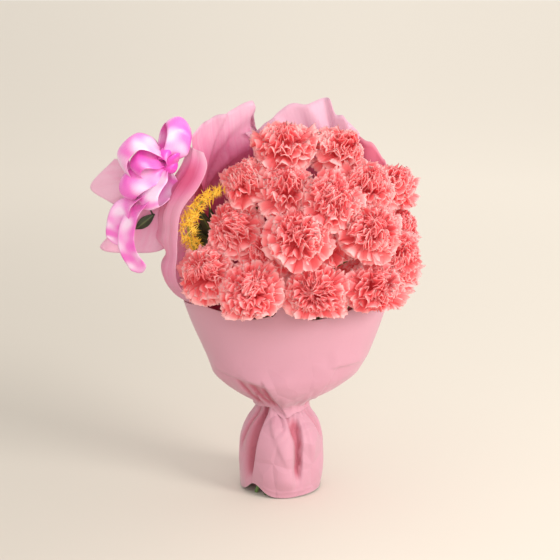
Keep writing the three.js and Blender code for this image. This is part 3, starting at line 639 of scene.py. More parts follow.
# Height of the flutes, and where their sine waves start
FLUTES = {"tissue_left": (1.2, 0.4), "tissue_right": (1.2, 2.1), "tissue_side": (0.6, 4.0)}
# How the side tissue bulges away from the bunch at its middle: rise, height, half-height of the bulge
SIDE_BULGES = [(10, 354, 20), (13, 322, 24), (7, 297, 8), (-5, 279, 7)]
# Heights between which a tissue's colour goes from painted shade to painted light, and the least of that
PAINTED_LIGHT_FROM = {"tissue_left": (305, 450, 0), "tissue_right": (270, 430, 0), "tissue_side": (200, 420, 0.75)}


def tissue_grid(name, rows=110, columns=90):
    """The draped net with soft flutes and creases, each a wide bell on one side and a narrow one on the
    other, that grow towards the free upper edge."""
    grid = drape(TISSUES[name], rows, columns)
    v, u = np.meshgrid(np.linspace(0, 1, rows), np.linspace(0, 1, columns), indexing="ij")
    n = unit(np.cross(np.gradient(grid, axis=1), np.gradient(grid, axis=0)))
    flute, start = FLUTES[name]
    wave = np.sin(11 * u + 2 * v + start) + 0.5 * np.sin(23 * u - 3 * v + 2 * start)
    wave += 0.3 * np.sin(9 * v + 5 * u)
    rise = flute * eased(0.35, 1, v) * wave + 0.4 * np.sin(31 * u + start) * eased(0.1, 0.3, v)
    for place, drift, width, height in CREASES[name]:
        away = u - place - drift * (grid[..., 2] - 420) / 100
        bell = np.exp(-((away / np.where(away < 0, width, 0.22 * width)) ** 2))
        rise = rise + height * eased(0.3, 0.8, v) * bell
    grid = grid + n * rise[..., None]
    grid[..., 2] += along(EDGES[name], u) * eased(0.8, 1, v)
    if name == "tissue_side":
        bulge = sum(rise * bump(grid[..., 2], level, half) for rise, level, half in SIDE_BULGES)
        grid[..., 0] -= bulge * bump(u, 0.5, 0.33)
    return grid


def tissue_shape(name):
    """A sheet with the values of its finish: how pale it is painted, as painted light higher up and painted
    shade lower down, and how deep the painted shade inside its rolled edge is.
    """
    grid = tissue_grid(name)
    z = grid[..., 2]
    u = np.linspace(0, 1, grid.shape[1])[None]
    low, high, least = PAINTED_LIGHT_FROM[name]
    # height: painted light higher up the sheet, painted shade lower down
    height = np.maximum(least, (z - low) / (high - low)) + 0 * u
    # roll: painted shade inside the rolled edge of the side sheet
    roll = bump(u, 0.8, 0.15) * bump(z, 368, 22) if name == "tissue_side" else 0 * height
    edge = edge_value(grid, 1.4)
    return Shape().blades(grid[None], THIN, edge=edge[None], height=height[None], roll=roll[None])


# ---- Goldenrod ----
# For each spray, the path of its rachis beyond the stem, and how many florets it has
GOLDENROD = [
    ([[-97, -8, 284], [-102, -18, 312], [-90, -20, 336], [-68, -16, 352]], 190),
    ([[96, -8, 274], [104, -25, 278]], 30),
]


def rachis(k, count):
    """A spline that goes on from the end of a stem, in line with it at first."""
    top, before = PATHS[HEADS + k][-1], PATHS[HEADS + k][-2]
    ahead = unit(top - before)
    return spline([top + ahead * 0.5, top + ahead * 7, *GOLDENROD[k][0]], np.linspace(0, 1, count))


def goldenrod_shape(k):
    """Star florets round a rachis: rays from each middle by turns of the circle, every second one on a short
    stalk.
    """
    rng = np.random.default_rng(31 + k)
    count = GOLDENROD[k][1]
    line = rachis(k, 60)
    shape = Shape().tube(line, np.interp(np.linspace(0, 1, 60), [0, 1], [1.5, 0.7]), 6, tone=0.0)
    t = np.linspace(0.05, 1, count)
    bud = spline(line, t)
    turn = 2.4 * np.arange(count) + rng.uniform(-0.4, 0.4, count)
    out = unit(np.stack([np.cos(turn), np.sin(turn), rng.uniform(-0.2, 0.8, count)], -1))
    middle = bud + out * rng.uniform(2.0, 9.5, count)[:, None]
    face = unit(out + rng.normal(0, 0.45, (count, 3)))
    u = unit(np.cross(face, [0.2, 0.3, 0.93]))
    v = np.cross(face, u)
    rays = 6
    angle = np.arange(2 * rays) * math.pi / rays
    reach = np.where(np.arange(2 * rays) % 2 == 0, 1.0, 0.14) * rng.uniform(5.5, 9.5, (count, 1))
    reach = reach * rng.uniform(0.7, 1.1, (count, 2 * rays))
    cup = reach * rng.uniform(0.05, 0.45, (count, 1))
    ring = (
        middle[:, None]
        + (reach * np.cos(angle))[..., None] * u[:, None]
        + (reach * np.sin(angle))[..., None] * v[:, None]
        + cup[..., None] * face[:, None]
    )
    tips = np.stack([middle - face * 0.7, middle + face * 0.9], 1)
    points = np.concatenate([ring, tips], 1)
    a = np.arange(2 * rays)
    b = (a + 1) % (2 * rays)
    low, high = np.full(2 * rays, 2 * rays), np.full(2 * rays, 2 * rays + 1)
    star = np.concatenate([np.stack([b, a, low, low], -1), np.stack([a, b, high, high], -1)])
    every = (star[None] + (2 * rays + 2) * np.arange(count)[:, None, None]).reshape(-1, 4)
    tone = np.repeat(rng.uniform(0.35, 1, count)[:, None], 2 * rays + 2, 1)
    tone = tone * np.append(np.where(a % 2 == 0, 1, 0.6), [0.3, 0.8])
    shape.add(points, every, np.zeros(len(every), bool), tone=tone)
    for start, stop in zip(bud[::2], (middle - face * 0.5)[::2]):
        shape.tube([start, (start + stop) / 2 + [0, 0, 0.4], stop], [0.4, 0.35, 0.3], 4, tone=0.05)
    return shape


# ---- Foliage ----
# For each spray, its leaves: direction, length, width
LEAVES = [
    [
        [-0.9, -0.2, 0.5, 46, 15], [-0.55, -0.5, 0.8, 52, 15], [0.1, 0.2, 1, 40, 13],
        [-0.2, -0.75, 0.45, 34, 12], [-0.75, -0.55, 0.35, 40, 9], [-0.35, -0.35, 0.95, 50, 10],
        [-0.6, -0.1, 0.9, 48, 10], [-0.05, -0.5, 0.8, 38, 9], [-0.95, -0.1, 0.75, 40, 14],
        [-0.95, -0.3, 0.15, 44, 13], [-0.8, 0.3, 0.6, 34, 15], [-0.9, 0.1, 1.1, 45, 13],
    ],
    [
        [0.35, -0.75, 0.5, 40, 12], [-0.55, 0.15, 0.9, 44, 13], [0.1, -0.5, 0.9, 42, 13],
        [-0.1, -0.8, 0.3, 34, 9], [0.5, -0.3, 0.8, 36, 10],
    ],
]


def leaf_grids(root, rows):
    """Lance-shaped blades: the width follows a drawn outline, the tip bends down with the square of the
    way along, and both halves rise off the midrib."""
    rows = np.asarray(rows, float)
    direction = unit(rows[:, :3])
    side = unit(np.cross(direction, [0.3, 1, 0.2]))
    rise = unit(np.cross(direction, side))
    t = np.linspace(0, 1, 19)[None, :, None, None]
    c = np.linspace(-1, 1, 9)[None, None, :, None]
    length, width = rows[:, 3, None, None, None], rows[:, 4, None, None, None]
    share = spline(np.array([[0.12], [0.7], [1], [0.8], [0.03]]), t.ravel()).reshape(1, -1, 1, 1)
    across = side[:, None, None] * c * share * width / 2
    lifted = rise[:, None, None] * (np.abs(c) ** 1.3 * share * width * 0.15 - 0.18 * length * t * t)
    ribs = rise[:, None, None] * 0.25 * np.sin(t * 40 - np.abs(c) * 5) * (1 - np.abs(c)) * share
    return root + direction[:, None, None] * t * length + across + lifted + ribs


def filler_line(k, count=60):
    """The spline of a goldenrod's or a leaf spray's stem."""
    return spline(PATHS[HEADS + k], np.linspace(0, 1, count))


def leaf_root(k):
    """Where the leaves of a spray start: a little below the top of its stem."""
    return STEM_TOPS[HEADS + 2 + k] - [0, 0, 3]


def midrib():
    """1 on a leaf's midrib, falling as a bell across it."""
    return np.exp(-((np.linspace(-1, 1, 9) / 0.16) ** 2))[None, None]


def foliage_shape(k):
    """A round stem with leaves from its end."""
    line = filler_line(2 + k)
    shape = Shape().tube(line, np.where(line[:, 2] > NECK[2], 1.7, STEM_RADIUS), 9, rib=0.0)
    return shape.blades(leaf_grids(leaf_root(k), LEAVES[k]), LEAF, rib=midrib())


# ---- Stems ----
def stem_shape(k):
    """A round stem with swollen joints that opens into a ribbed calyx with five points."""
    count = 70
    line = spline(PATHS[k], np.linspace(0, 1, count))
    run = np.concatenate([[0], np.linalg.norm(np.diff(line, axis=0), axis=1).cumsum()])
    joint = np.exp(-(((run + 23 * k) % 62 - 31) / 2.6) ** 2)
    sides = 20
    turn = np.linspace(0, 2 * math.pi, sides, endpoint=False)[None]
    stalk = np.repeat((STEM_RADIUS - 0.15 + 0.6 * joint * (run > 4))[:, None], sides, 1)
    top = CENTRES[k] - AXES[k] * CALYX_DEPTH
    reach = np.array([1.5, 3, 5, 9, 14, 19, 23, 25.5, 26.7])
    cup = np.interp(reach, [0, 3, 5, 14, 26.7], [2.5, 4.2, CALYX_WAIST, 5.1, CALYX_MOUTH])
    rib = 1 + 0.03 * np.cos(10 * turn) - 0.05 * eased(20, 27, reach)[:, None] * (1 - np.cos(5 * turn)) / 2
    path = np.concatenate([line, top + AXES[k] * reach[:, None]])
    share = np.concatenate([np.zeros(count), eased(0, 6, reach)])
    shape = Shape().tube(
        path, np.concatenate([stalk, cup[:, None] * rib]), sides,
        calyx=np.append(np.repeat(share, sides), [0, 1]),
        joint=np.append(np.repeat(np.append(joint, np.zeros(len(reach))), sides), [0, 0]),
    )
    return cut_level(shape)


def goldenrod_stalk_shape(k):
    """A round stem that is thinner above the neck."""
    line = filler_line(k)
    radii = np.where(line[:, 2] > NECK[2], 1.9, STEM_RADIUS)
    return cut_level(Shape().tube(line, radii, 12, joint=0.0, calyx=0.0))


def cut_level(shape):
    """The stem's lower end, cut level just above the floor."""
    shape.points[0][:, 2] = np.maximum(shape.points[0][:, 2], ABOVE_FLOOR)
    return shape


# ---- Carnation heads ----
# Whorls of petals: count, degrees from the axis, reach, overlap with the next petal, height of the frill,
# waves across a petal
WHORLS = [
    (6, 112, 0.96, 1.5, 2.4, 1.6), (6, 97, 1.06, 1.5, 4.0, 2.0), (7, 81, 1.07, 1.5, 4.8, 2.4),
    (8, 67, 1.04, 1.5, 4.8, 2.6), (9, 54, 0.99, 1.55, 5.2, 2.9), (9, 42, 0.95, 1.6, 5.6, 2.9),
    (8, 31, 0.92, 1.7, 5.6, 2.9), (7, 20, 0.9, 1.8, 5.4, 2.7), (4, 9, 0.88, 1.8, 4.6, 2.4),
]
PETAL_ROWS = np.array([0, 0.25, 0.45, 0.6, 0.72, 0.82, 0.9, 0.96, 1.0])
PETAL_COLUMNS = 31
PETAL_LEAN = (0.24, 0.08)  # how far a whorl's axis strays, in the heart and outside it
HEART = 60  # degrees from the axis within which a whorl belongs to the heart
RIM_LEVEL = 226  # height that the lowest petals rest at, over the front wrap's rim
ROOM = 11  # how far petals reach past half way to a neighbour
SHARPNESS = 14  # power with which the limits round a head are joined


def obstacles():
    """Points that heads press against, with how near a petal may come."""
    degrees = np.linspace(-WRAP_REACH, WRAP_REACH, 61)
    front = on_bowl(degrees[None], np.linspace(104, 236, 34)[:, None], 0)
    sheets = [front[front[..., 2] < along(RIM, degrees)[None] + 1]]
    sheets += [tissue_grid(name, 40, 30) for name in TISSUES]
    sheets.append(back_wrap_shape().points[0].reshape(2, *BACK_GRID, 3)[0, ::3, ::4])
    florets = np.array([[5, 0, 0], [-5, 0, 0], [0, 0, 5], [0, 0, -5], [0, 5, 0]])
    sheets += [leaf_grids(leaf_root(k), LEAVES[k])[:, ::3, ::4] for k in range(2)]
    sheets += [rachis(k, 24)[:, None] + florets for k in range(2)]
    points = np.concatenate([s.reshape(-1, 3) for s in sheets])
    return points, np.full(len(points), 1.6)


# Heads that are held back on a side by the tissue or by a head in front: number, direction, how far
HELD = [(1, [0, 0, 1], 28), (1, [1, 0, 0.2], 24), (6, [0, 0, 1], 27), (2, [-0.4, 0, 1], 31)]


def reach_of(index, directions, points, gaps):
    """How far petals reach: the least of a little over the radius and the distances to planes that stand
    beyond half way to each neighbour, level with the rim below and square to each obstacle. The least is
    taken as a power mean, so it is rounded off where two meet."""
    centre = CENTRES[index]
    others = np.delete(CENTRES, index, axis=0) - centre
    distance = np.linalg.norm(others, axis=1)
    near = distance < 2 * BLOOM_RADIUS + 10
    limits = np.maximum(9, distance[near] / 2 + ROOM)
    towards = directions @ (others[near] / distance[near, None]).T
    total = (np.maximum(0, towards) / limits * BLOOM_RADIUS) ** SHARPNESS
    apart = points - centre
    distance = np.linalg.norm(apart, axis=1)
    near = distance < BLOOM_RADIUS + 8
    limits = np.maximum(9, distance[near] - gaps[near])
    towards = directions @ (apart[near] / distance[near, None]).T
    hard = np.maximum(0, towards / limits * BLOOM_RADIUS).max(-1) if near.any() else 0
    floor = RIM_LEVEL + 4 * eased(50, 75, abs(centre[0] - 8))
    low = np.maximum(0, -directions[:, 2]) / max(18, centre[2] - floor) * BLOOM_RADIUS
    for head, way, limit in HELD:
        if head == index:
            low = np.maximum(low, directions @ unit(np.array(way, float)) / limit * BLOOM_RADIUS)
    limit = 0.3 + total.sum(-1) + low**SHARPNESS + hard**SHARPNESS
    return BLOOM_RADIUS * limit ** (-1 / SHARPNESS)


def bloom_shape(index, frill_share, walls):
    """A head of nine whorls, measured in radii until the end. In its own plane a petal is a quadratic
    curve from the calyx to the rim; across, it is an arc round its whorl's axis, which leans a little its
    own way. The frill is three sine waves that grow towards the rim and move the petal along the curve's
    normal, and a fourth that leans the waves over so that they fold. Two sine waves of the direction
    dent the whole head."""
    rng = np.random.default_rng(700 + index)
    leans = np.random.default_rng(900 + index).normal(size=(len(WHORLS), 3))
    rows = PETAL_ROWS[None, :, None]
    u = np.linspace(-1, 1, PETAL_COLUMNS)[None, None]
    dome = rng.uniform(0.84, 0.96)
    grids, values = [], {"margin": [], "fold": [], "tone": [], "heart": []}
    for whorl, (count, degrees, reach, overlap, frill, waves) in enumerate(WHORLS):
        pick = lambda low, high: rng.uniform(low, high, count)[:, None, None]
        inner = degrees < HEART
        axis = unit(AXES[index] + leans[whorl] * PETAL_LEAN[0 if inner else 1])
        first = unit(np.cross([0.1, 1, 0.2], axis))
        second = np.cross(axis, first)
        tilt = np.radians(degrees + pick(-9, 9) * (1 + (degrees < 35)))
        loose = 0.09 * (degrees > HEART)
        size = reach * pick(0.9 - loose, 1.04 + loose)
        places = np.arange(count)[:, None, None] + pick(-0.22, 0.22)
        middle = 2 * math.pi * places / count + rng.uniform(0, 6.3)
        # the curve's root, middle and end: out from the axis, and along it
        h0, z0 = 0.08 + 0 * size, -PETAL_ROOT + 0 * size
        h1, z1 = size * np.sin(tilt), size * dome * np.cos(tilt)
        h_mid, z_mid = 0.12 + 0.2 * np.sin(tilt), 0.1 + 0.42 * np.maximum(0, np.cos(tilt))
        h = (1 - rows) ** 2 * h0 + 2 * rows * (1 - rows) * h_mid + rows**2 * h1
        z = (1 - rows) ** 2 * z0 + 2 * rows * (1 - rows) * z_mid + rows**2 * z1
        dh = 2 * (1 - rows) * (h_mid - h0) + 2 * rows * (h1 - h_mid)
        dz = 2 * (1 - rows) * (z_mid - z0) + 2 * rows * (z1 - z_mid)
        length = np.hypot(dh, dz)
        grow = eased(0.35, 1, rows)
        cycles = waves * pick(0.85, 1.2)
        drift = pick(-3.4, 3.4) * rows
        arg = pick(0, 6.3) + math.pi * cycles * u + drift
        fine = np.sin(pick(0, 6.3) + math.pi * cycles * pick(2.1, 2.7) * u)
        slow = np.sin(pick(0, 6.3) + 6 * rows + 2 * u)
        wave = np.sin(arg) + 0.4 * fine * eased(0.6, 1, rows) + 0.25 * slow
        shift = frill * frill_share / BLOOM_RADIUS * grow * wave
        lean = u + 0.22 / cycles * np.sin(2 * arg + 0.6) * grow
        half = overlap * math.pi / count * (0.3 + 0.7 * eased(0, 0.75, rows))
        turn = middle + half * lean + pick(-0.35, 0.35) * rows**2 * inner
        teeth = rng.uniform(0.3, 1, (count, 1, PETAL_COLUMNS))
        teeth = (np.arange(PETAL_COLUMNS) % 2)[None, None] * teeth
        trim = 1 - 0.06 * teeth * eased(0.86, 1, rows) - 0.16 * np.abs(u) ** 3 * eased(0.3, 1, rows)
        h = h * trim - shift * dz / length
        z = (z + PETAL_ROOT) * trim - PETAL_ROOT + shift * dh / length
        outwards = np.cos(turn)[..., None] * first + np.sin(turn)[..., None] * second
        grids.append(h[..., None] * outwards + (z + 0 * turn)[..., None] * axis)
        values["margin"].append(rows * (1 - 0.08 * teeth) + 0 * turn)
        # fold: painted shade in the frill's valleys and painted light on its crests, from the wave's height
        values["fold"].append(np.clip(0.5 + 0.4 * wave * grow, 0, 1) + 0 * turn)
        values["tone"].append(pick(0, 1) + 0 * rows + 0 * turn)
        values["heart"].append(np.full(turn.shape, whorl / (len(WHORLS) - 1)))
    local = np.concatenate(grids)
    radius = np.linalg.norm(local, axis=-1, keepdims=True)
    way = unit(local)
    squeeze = reach_of(index, way.reshape(-1, 3), *walls(index)).reshape(radius.shape)
    dent = lambda pitch: np.sin(pitch * (way @ unit(rng.normal(size=3))) + rng.uniform(0, 6.3))
    coarse, fine = dent(3.4), dent(7)
    squeeze = squeeze * (1.01 - 0.045 * (1 + coarse) - 0.02 * (1 + fine))[..., None]
    squeeze = BLOOM_RADIUS + (squeeze - BLOOM_RADIUS) * eased(0.25, 0.6, radius)
    values = {key: np.concatenate(parts) for key, parts in values.items()}
    return Shape().blades(CENTRES[index] + way * radius * squeeze, THIN, **values)


# ---- Bow ----
KNOT = np.array([-122.5, -14, 379])
# Loops: which way each reaches, which way it opens, how far, how wide it opens, ribbon width, sheen
LOOPS = [
    ([0.2, 0.05, 1], [0.45, -1, 0], 55, 24, 29, 0.5),
    ([-1, -0.35, 0.2], [0.15, -0.55, 0.85], 60, 46, 29, 0.75),
    ([-1, -0.5, 0.02], [-0.1, -0.8, 0.55], 46, 30, 26, -0.2),
    ([-0.55, -0.3, -1], [-0.6, -0.9, 0.2], 56, 22, 32, 0.9),
    ([-0.88, -0.12, -0.5], [-0.2, -1, 0.25], 62, 26, 30, 0.4),
    ([0.35, -0.6, 0.4], [0.2, -0.6, 0.8], 19, 16, 18, -0.6),
    ([-0.35, -0.5, 0.75], [0.6, -0.7, 0.3], 24, 16, 18, -0.3),
]
# Tails: the path from the knot, and the ribbon's width
TAILS = [
    ([[-143, -28, 348], [-165, -33, 322], [-170, -30, 290], [-155, -22, 259]], 21),
    ([[-148, -22, 352], [-174, -24, 332], [-181, -21, 310], [-181, -16, 289]], 28),
]


def ribbon_grid(path, start, stop, width, crown=None):
    """A ribbon along a spline whose width turns evenly from one direction to another. A loop's ribbon is
    gathered at both ends, and its edges are drawn back from the far end by the square of the way across."""
    t = np.linspace(0, 1, 61)
    middle = spline(path, t)
    ahead = unit(np.gradient(middle, axis=0))
    across = np.array(start, float) * (1 - t[:, None]) + np.array(stop, float) * t[:, None]
    across = unit(across - (across * ahead).sum(-1, keepdims=True) * ahead)
    narrow = np.minimum(1, np.minimum(5 * t, 5 * (1 - t) if crown is not None else 1))
    half = width / 2 * (0.22 + 0.78 * eased(0, 1, narrow))
    c = np.linspace(-1, 1, 13)
    n = np.cross(ahead, across)
    gather = 1.1 * (1 - narrow)[:, None] * np.sin(c * 9)[None] + 0.9 * c[None] ** 2
    grid = middle[:, None] + across[:, None] * (half[:, None] * c)[..., None] + n[:, None] * gather[..., None]
    if crown is not None:
        return grid - np.asarray(crown) * (np.sin(math.pi * t)[:, None] ** 2 * c**2)[..., None]
    return grid - ahead[:, None] * (eased(0.85, 1, t)[:, None] * c**2 * width * 0.35)[..., None]


def bow_shape():
    """Loops are ribbons along a spline that goes out and comes back lower, tails are open ribbons, and
    the knot is a ball with seven shallow sine waves round it."""
    shape = Shape()
    for out, up, reach, swell, width, sheen in LOOPS:
        o, u = unit(np.array(out, float)), unit(np.array(up, float))
        steps = [(0.03, 0.06), (0.3, 0.5), (0.75, 0.6), (1, 0.1), (0.78, -0.42), (0.3, -0.4), (0.03, -0.06)]
        path = [KNOT + o * a * reach + u * b * swell for a, b in steps]
        across = np.cross(o, u)
        shape.blades(ribbon_grid(path, across, across, width, o * width * 0.3)[None], THIN, sheen=sheen)
    for path, width in TAILS:
        tail = ribbon_grid([KNOT, *path], [0.6, -0.7, 0.4], [1, -0.3, 0.1], width)
        shape.blades(tail[None], THIN, sheen=0.7)
    t = np.linspace(-1, 1, 17)[1:-1]
    turn = np.linspace(0, 2 * math.pi, 24, endpoint=False)[None]
    radii = 9.5 * np.sqrt(1 - t**2)[:, None] * (1 + 0.07 * np.sin(7 * turn))
    return shape.tube(KNOT + t[:, None] * np.array([5, -2, 8]), radii, 24, sheen=-1.0)


FLAP_EDGE = np.array([
    [-186, 6, 384], [-214, 4, 351], [-192, 3, 336], [-170, 5, 318], [-204, 0, 284], [-166, 2, 277],
    [-130, 0, 283], [-124, 2, 306],
], float)


def bow_tissue_shape():
    """The drawn edge shrunk towards the knot in rings, with two sine waves in depth that grow outwards."""
    root = KNOT + [-4, 11, -6]
    grid = drape([root + (FLAP_EDGE - root) * share for share in (0.1, 0.4, 0.7, 1)], 40, 110)
    u = np.linspace(0, 1, 110)[None]
    v = np.linspace(0, 1, 40)[:, None]
    grid[..., 1] += v * (2.6 * np.sin(17 * u) + 1.4 * np.sin(37 * u + 1))
    edge = edge_value(grid, 1.4, (False, True, True, True))
    # height: how pale the flaps are painted: painted light outwards, painted shade near the knot
    height = 0.6 + 0.35 * v + 0.2 * bump(u, 0.2, 0.2) + 0.1 * bump(u, 0.85, 0.15)
    return Shape().blades(grid[None], THIN, edge=edge[None], height=height[None], roll=0.0)


def sprig_shape():
    """A short stalk along a spline with one hanging leaf."""
    path = spline([[-137, -4.6, 363], [-150, -4.6, 342], [-143, -6, 322]], np.linspace(0, 1, 20))
    shape = Shape().tube(path, 1.0, 8, rib=0.0)
    grids = leaf_grids(np.array([-141, -5, 323]), [[-0.75, -0.1, -0.6, 28, 12]])
    return shape.blades(grids, LEAF, rib=midrib())


def twine_shape(radius, low, high, turns, thick):
    """A twine wound round the neck: a helix on a cylinder."""
    t = np.linspace(0, 1, 60 * turns)
    turn = 2 * math.pi * turns * t
    x, y = NECK[0] + radius * np.cos(turn), NECK[1] + radius * np.sin(turn)
    path = np.stack([x, y, low + (high - low) * t], -1)
    return Shape().tube(path, thick * (1 + 0.08 * np.sin(9 * turn)), 8)


# ---- Finishes ----
def shade(red, green, blue):
    """A colour from screen values of 0 to 255, in the linear light that the nodes use."""
    screen = (red / 255, green / 255, blue / 255)
    return tuple(c / 12.92 if c <= 0.04045 else ((c + 0.055) / 1.055) ** 2.4 for c in screen)


class Value:
    """A node's output. Sums, products and powers of values add Math nodes."""

    def __init__(self, finish, socket):
        self.finish, self.socket = finish, socket

    def math(self, operation, a, b):
        return self.finish.node("ShaderNodeMath", {"operation": operation}, {0: a, 1: b})

    def __add__(self, other):
        return self.math("ADD", self, other)

    def __sub__(self, other):
        return self.math("SUBTRACT", self, other)

    def __rsub__(self, other):
        return self.math("SUBTRACT", other, self)

    def __mul__(self, other):
        return self.math("MULTIPLY", self, other)

    def __truediv__(self, other):
        return self.math("DIVIDE", self, other)

    def __pow__(self, other):
        return self.math("POWER", self, other)

    __radd__, __rmul__ = __add__, __mul__


class Finish:
    """A material made of nodes that ends in a Principled shader."""

    def __init__(self, name, **constants):
        self.material = bpy.data.materials.new(name)
        self.material.use_nodes = True
        self.tree = self.material.node_tree
        self.tree.nodes.clear()
        self.output = self.tree.nodes.new("ShaderNodeOutputMaterial")
        self.shader = self.tree.nodes.new("ShaderNodeBsdfPrincipled")
        self.tree.links.new(self.shader.outputs[0], self.output.inputs[0])
        for key, value in constants.items():
            self.shader.inputs[key.replace("_", " ")].default_value = value

    def node(self, kind, settings=None, values=None, output=0):
        """One node: its settings or a ramp's stops first, then numbers, colours or links for its sockets."""
        node = self.tree.nodes.new(kind)
        for key, value in (settings or {}).items():
            if key == "stops":
                ramp = node.color_ramp.elements
                while len(ramp) < len(value):
                    ramp.new(0.5)
                for stop, (place, colour) in zip(ramp, value):
                    stop.position, stop.color = place, (*colour, 1)
            else:
                setattr(node, key, value)
        for key, value in (values or {}).items():
            self.feed(node.inputs[key], value)
        return Value(self, node.outputs[output])

    def feed(self, socket, value):
        """Links a socket, or gives it a colour or a number."""
        if isinstance(value, Value):
            self.tree.links.new(value.socket, socket)
        elif socket.type == "RGBA":
            socket.default_value = (*value, 1)
        else:
            socket.default_value = value

    def set(self, name, value):
        self.feed(self.shader.inputs[name], value)

    def attribute(self, name):
        """A value that the piece's own points carry."""
        return self.node("ShaderNodeAttribute", {"attribute_name": name}, output="Fac")

    def place(self, source="Object"):
        return self.node("ShaderNodeTexCoord", output=source)

    def noise(self, scale, detail=3.0, roughness=0.55, source=None, stretch=None):
        vector = source or self.place()
        if stretch:
            vector = self.node("ShaderNodeMapping", values={"Vector": vector, "Scale": stretch})
        values = {"Vector": vector, "Scale": scale, "Detail": detail, "Roughness": roughness}
        return self.node("ShaderNodeTexNoise", values=values)

    def ramp(self, value, stops):
        """A colour between stops, each a place from 0 to 1 and its colour."""
        return self.node("ShaderNodeValToRGB", {"stops": stops}, {"Fac": value})

    def mix(self, factor, a, b):
        """The colour a at 0 and b at 1."""
        return self.node("ShaderNodeMix", {"data_type": "RGBA"}, {0: factor, 6: a, 7: b}, output=2)

    def between(self, value, low, high, kind="LINEAR"):
        """0 below low, 1 above high, and an even or smoothed step between them."""
        values = {"Value": value, "From Min": low, "From Max": high}
        return self.node("ShaderNodeMapRange", {"interpolation_type": kind}, values)

    def bump(self, height, distance, strength=1.0):
        """Relief that only the light sees, its depth in millimetres."""
        values = {"Height": height, "Distance": distance * MM, "Strength": strength}
        self.set("Normal", self.node("ShaderNodeBump", values=values))

    def layered(self, colour, *coats):
        """A colour with others laid over it, each by a share that varies over the surface."""
        for share, coat in coats:
            colour = self.mix(share, colour, coat)
        return colour

    def glow_through(self, share, colour, *coats):
        """Lets light through a thin piece: the shader mixed with translucent ones.

        Each translucent shader has a plain colour, and they are mixed by the shares that `layered`
        takes, which comes to one translucent shader of the layered colour.
        """
        thin = self.node("ShaderNodeBsdfTranslucent", values={"Color": colour})
        for part, coat in coats:
            over = self.node("ShaderNodeBsdfTranslucent", values={"Color": coat})
            thin = self.node("ShaderNodeMixShader", values={0: part, 1: thin, 2: over})
        solid = Value(self, self.shader.outputs[0])
        both = self.node("ShaderNodeMixShader", values={0: share, 1: solid, 2: thin})
        self.tree.links.new(both.socket, self.output.inputs[0])


def petal_finish(look):
    """Coral at the root, salmon over the blade, pale along the fringed margin, with fine veins, painted shade
    in the frill's valleys, painted light on its crests, and a faint painted glow in the petal's own colour.
    """
    # Emission_Strength makes the petals glow faintly: painted light that warms their shadows
    finish = Finish(
        "carnation_petal", Roughness=0.6, Sheen_Weight=0.12, Sheen_Roughness=0.5, Emission_Strength=0.09
    )
    margin, crease, tone, heart = (finish.attribute(name) for name in ("margin", "fold", "tone", "heart"))
    run = finish.place("UV")
    veins = finish.noise(9.0, 2.0, 0.6, run, (9, 0.6, 1))
    cloud = finish.noise(55.0, 2.0)
    rim = margin**14 * 0.34 + margin**3 * 0.3
    # crease carries fold: painted shade in the frill's valleys, painted light on its crests
    level = rim + crease * 0.24 + tone * 0.16 + cloud * 0.16 + veins * 0.12 - heart * 0.32 + 0.13
    blade = finish.between(level, 0.08, 0.34) * 0.5 + finish.between(level, 0.34, 0.58) * 0.5
    rim = finish.between(level, 0.58, 0.9)
    layers = (look.petal_root, (blade, look.petal_blade), (rim, look.petal_margin))
    colour = finish.layered(*layers)
    finish.set("Base Color", colour)
    finish.set("Roughness", cloud * 0.2 + 0.5)
    finish.bump(veins * 0.5 + finish.noise(700.0, 2.0) * 0.5, 0.5, 0.35)
    # painted glow: the petal colour itself as emission
    finish.set("Emission Color", colour)
    finish.glow_through(0.42, *layers)
    return finish.material


def paper_finish(name, tint):
    """Matte wrapping paper: faint fibres, soft mottling, shallow creases, a cooler tint above the bowl's
    waist, painted shade that is redder and darker deep in its folds, a painted highlight along its cut edge,
    and a faint painted pink glow."""
    # Emission_Strength makes the paper glow faintly pink: painted light in its shadows
    finish = Finish(name, Roughness=0.6, Sheen_Weight=0.35, Sheen_Roughness=0.5, Emission_Strength=0.05)
    fibre = finish.noise(260.0, 3.0, 0.65, stretch=(1, 1, 0.35))
    cloud = finish.noise(9.0, 2.0)
    edge = finish.attribute("edge")
    tint = np.array(tint)
    height = finish.node("ShaderNodeSeparateXYZ", values={0: finish.place()}, output=2)
    colour = finish.mix(cloud * 0.5 + fibre * 0.2, 0.93 * tint, np.minimum(1, 1.05 * tint))
    colour = finish.layered(
        colour,
        (finish.between(height, 0.14, 0.22) * 0.8, tint * (0.99, 1.12, 1.07)),
        # painted shade: redder and darker deep in the folds
        (finish.attribute("deep") * 0.8, tint * (0.74, 0.26, 0.32)),
        # painted highlight: paler along the cut edge
        (edge * 0.35, 0.5 + 0.5 * tint),
    )
    # painted glow in a deeper pink
    finish.set("Emission Color", tint**1.6)
    finish.set("Base Color", colour)
    finish.set("Roughness", fibre * 0.2 + 0.5)
    cells = {"Vector": finish.place(), "Scale": 26.0}
    creases = finish.node("ShaderNodeTexVoronoi", {"feature": "DISTANCE_TO_EDGE"}, cells)
    finish.bump(creases * (finish.attribute("crumple") * 8.5 + 0.8) + cloud * 0.9 + fibre * 0.05, 1.6, 0.45)
    finish.glow_through(0.2, tint**1.6 * 1.2)
    return finish.material


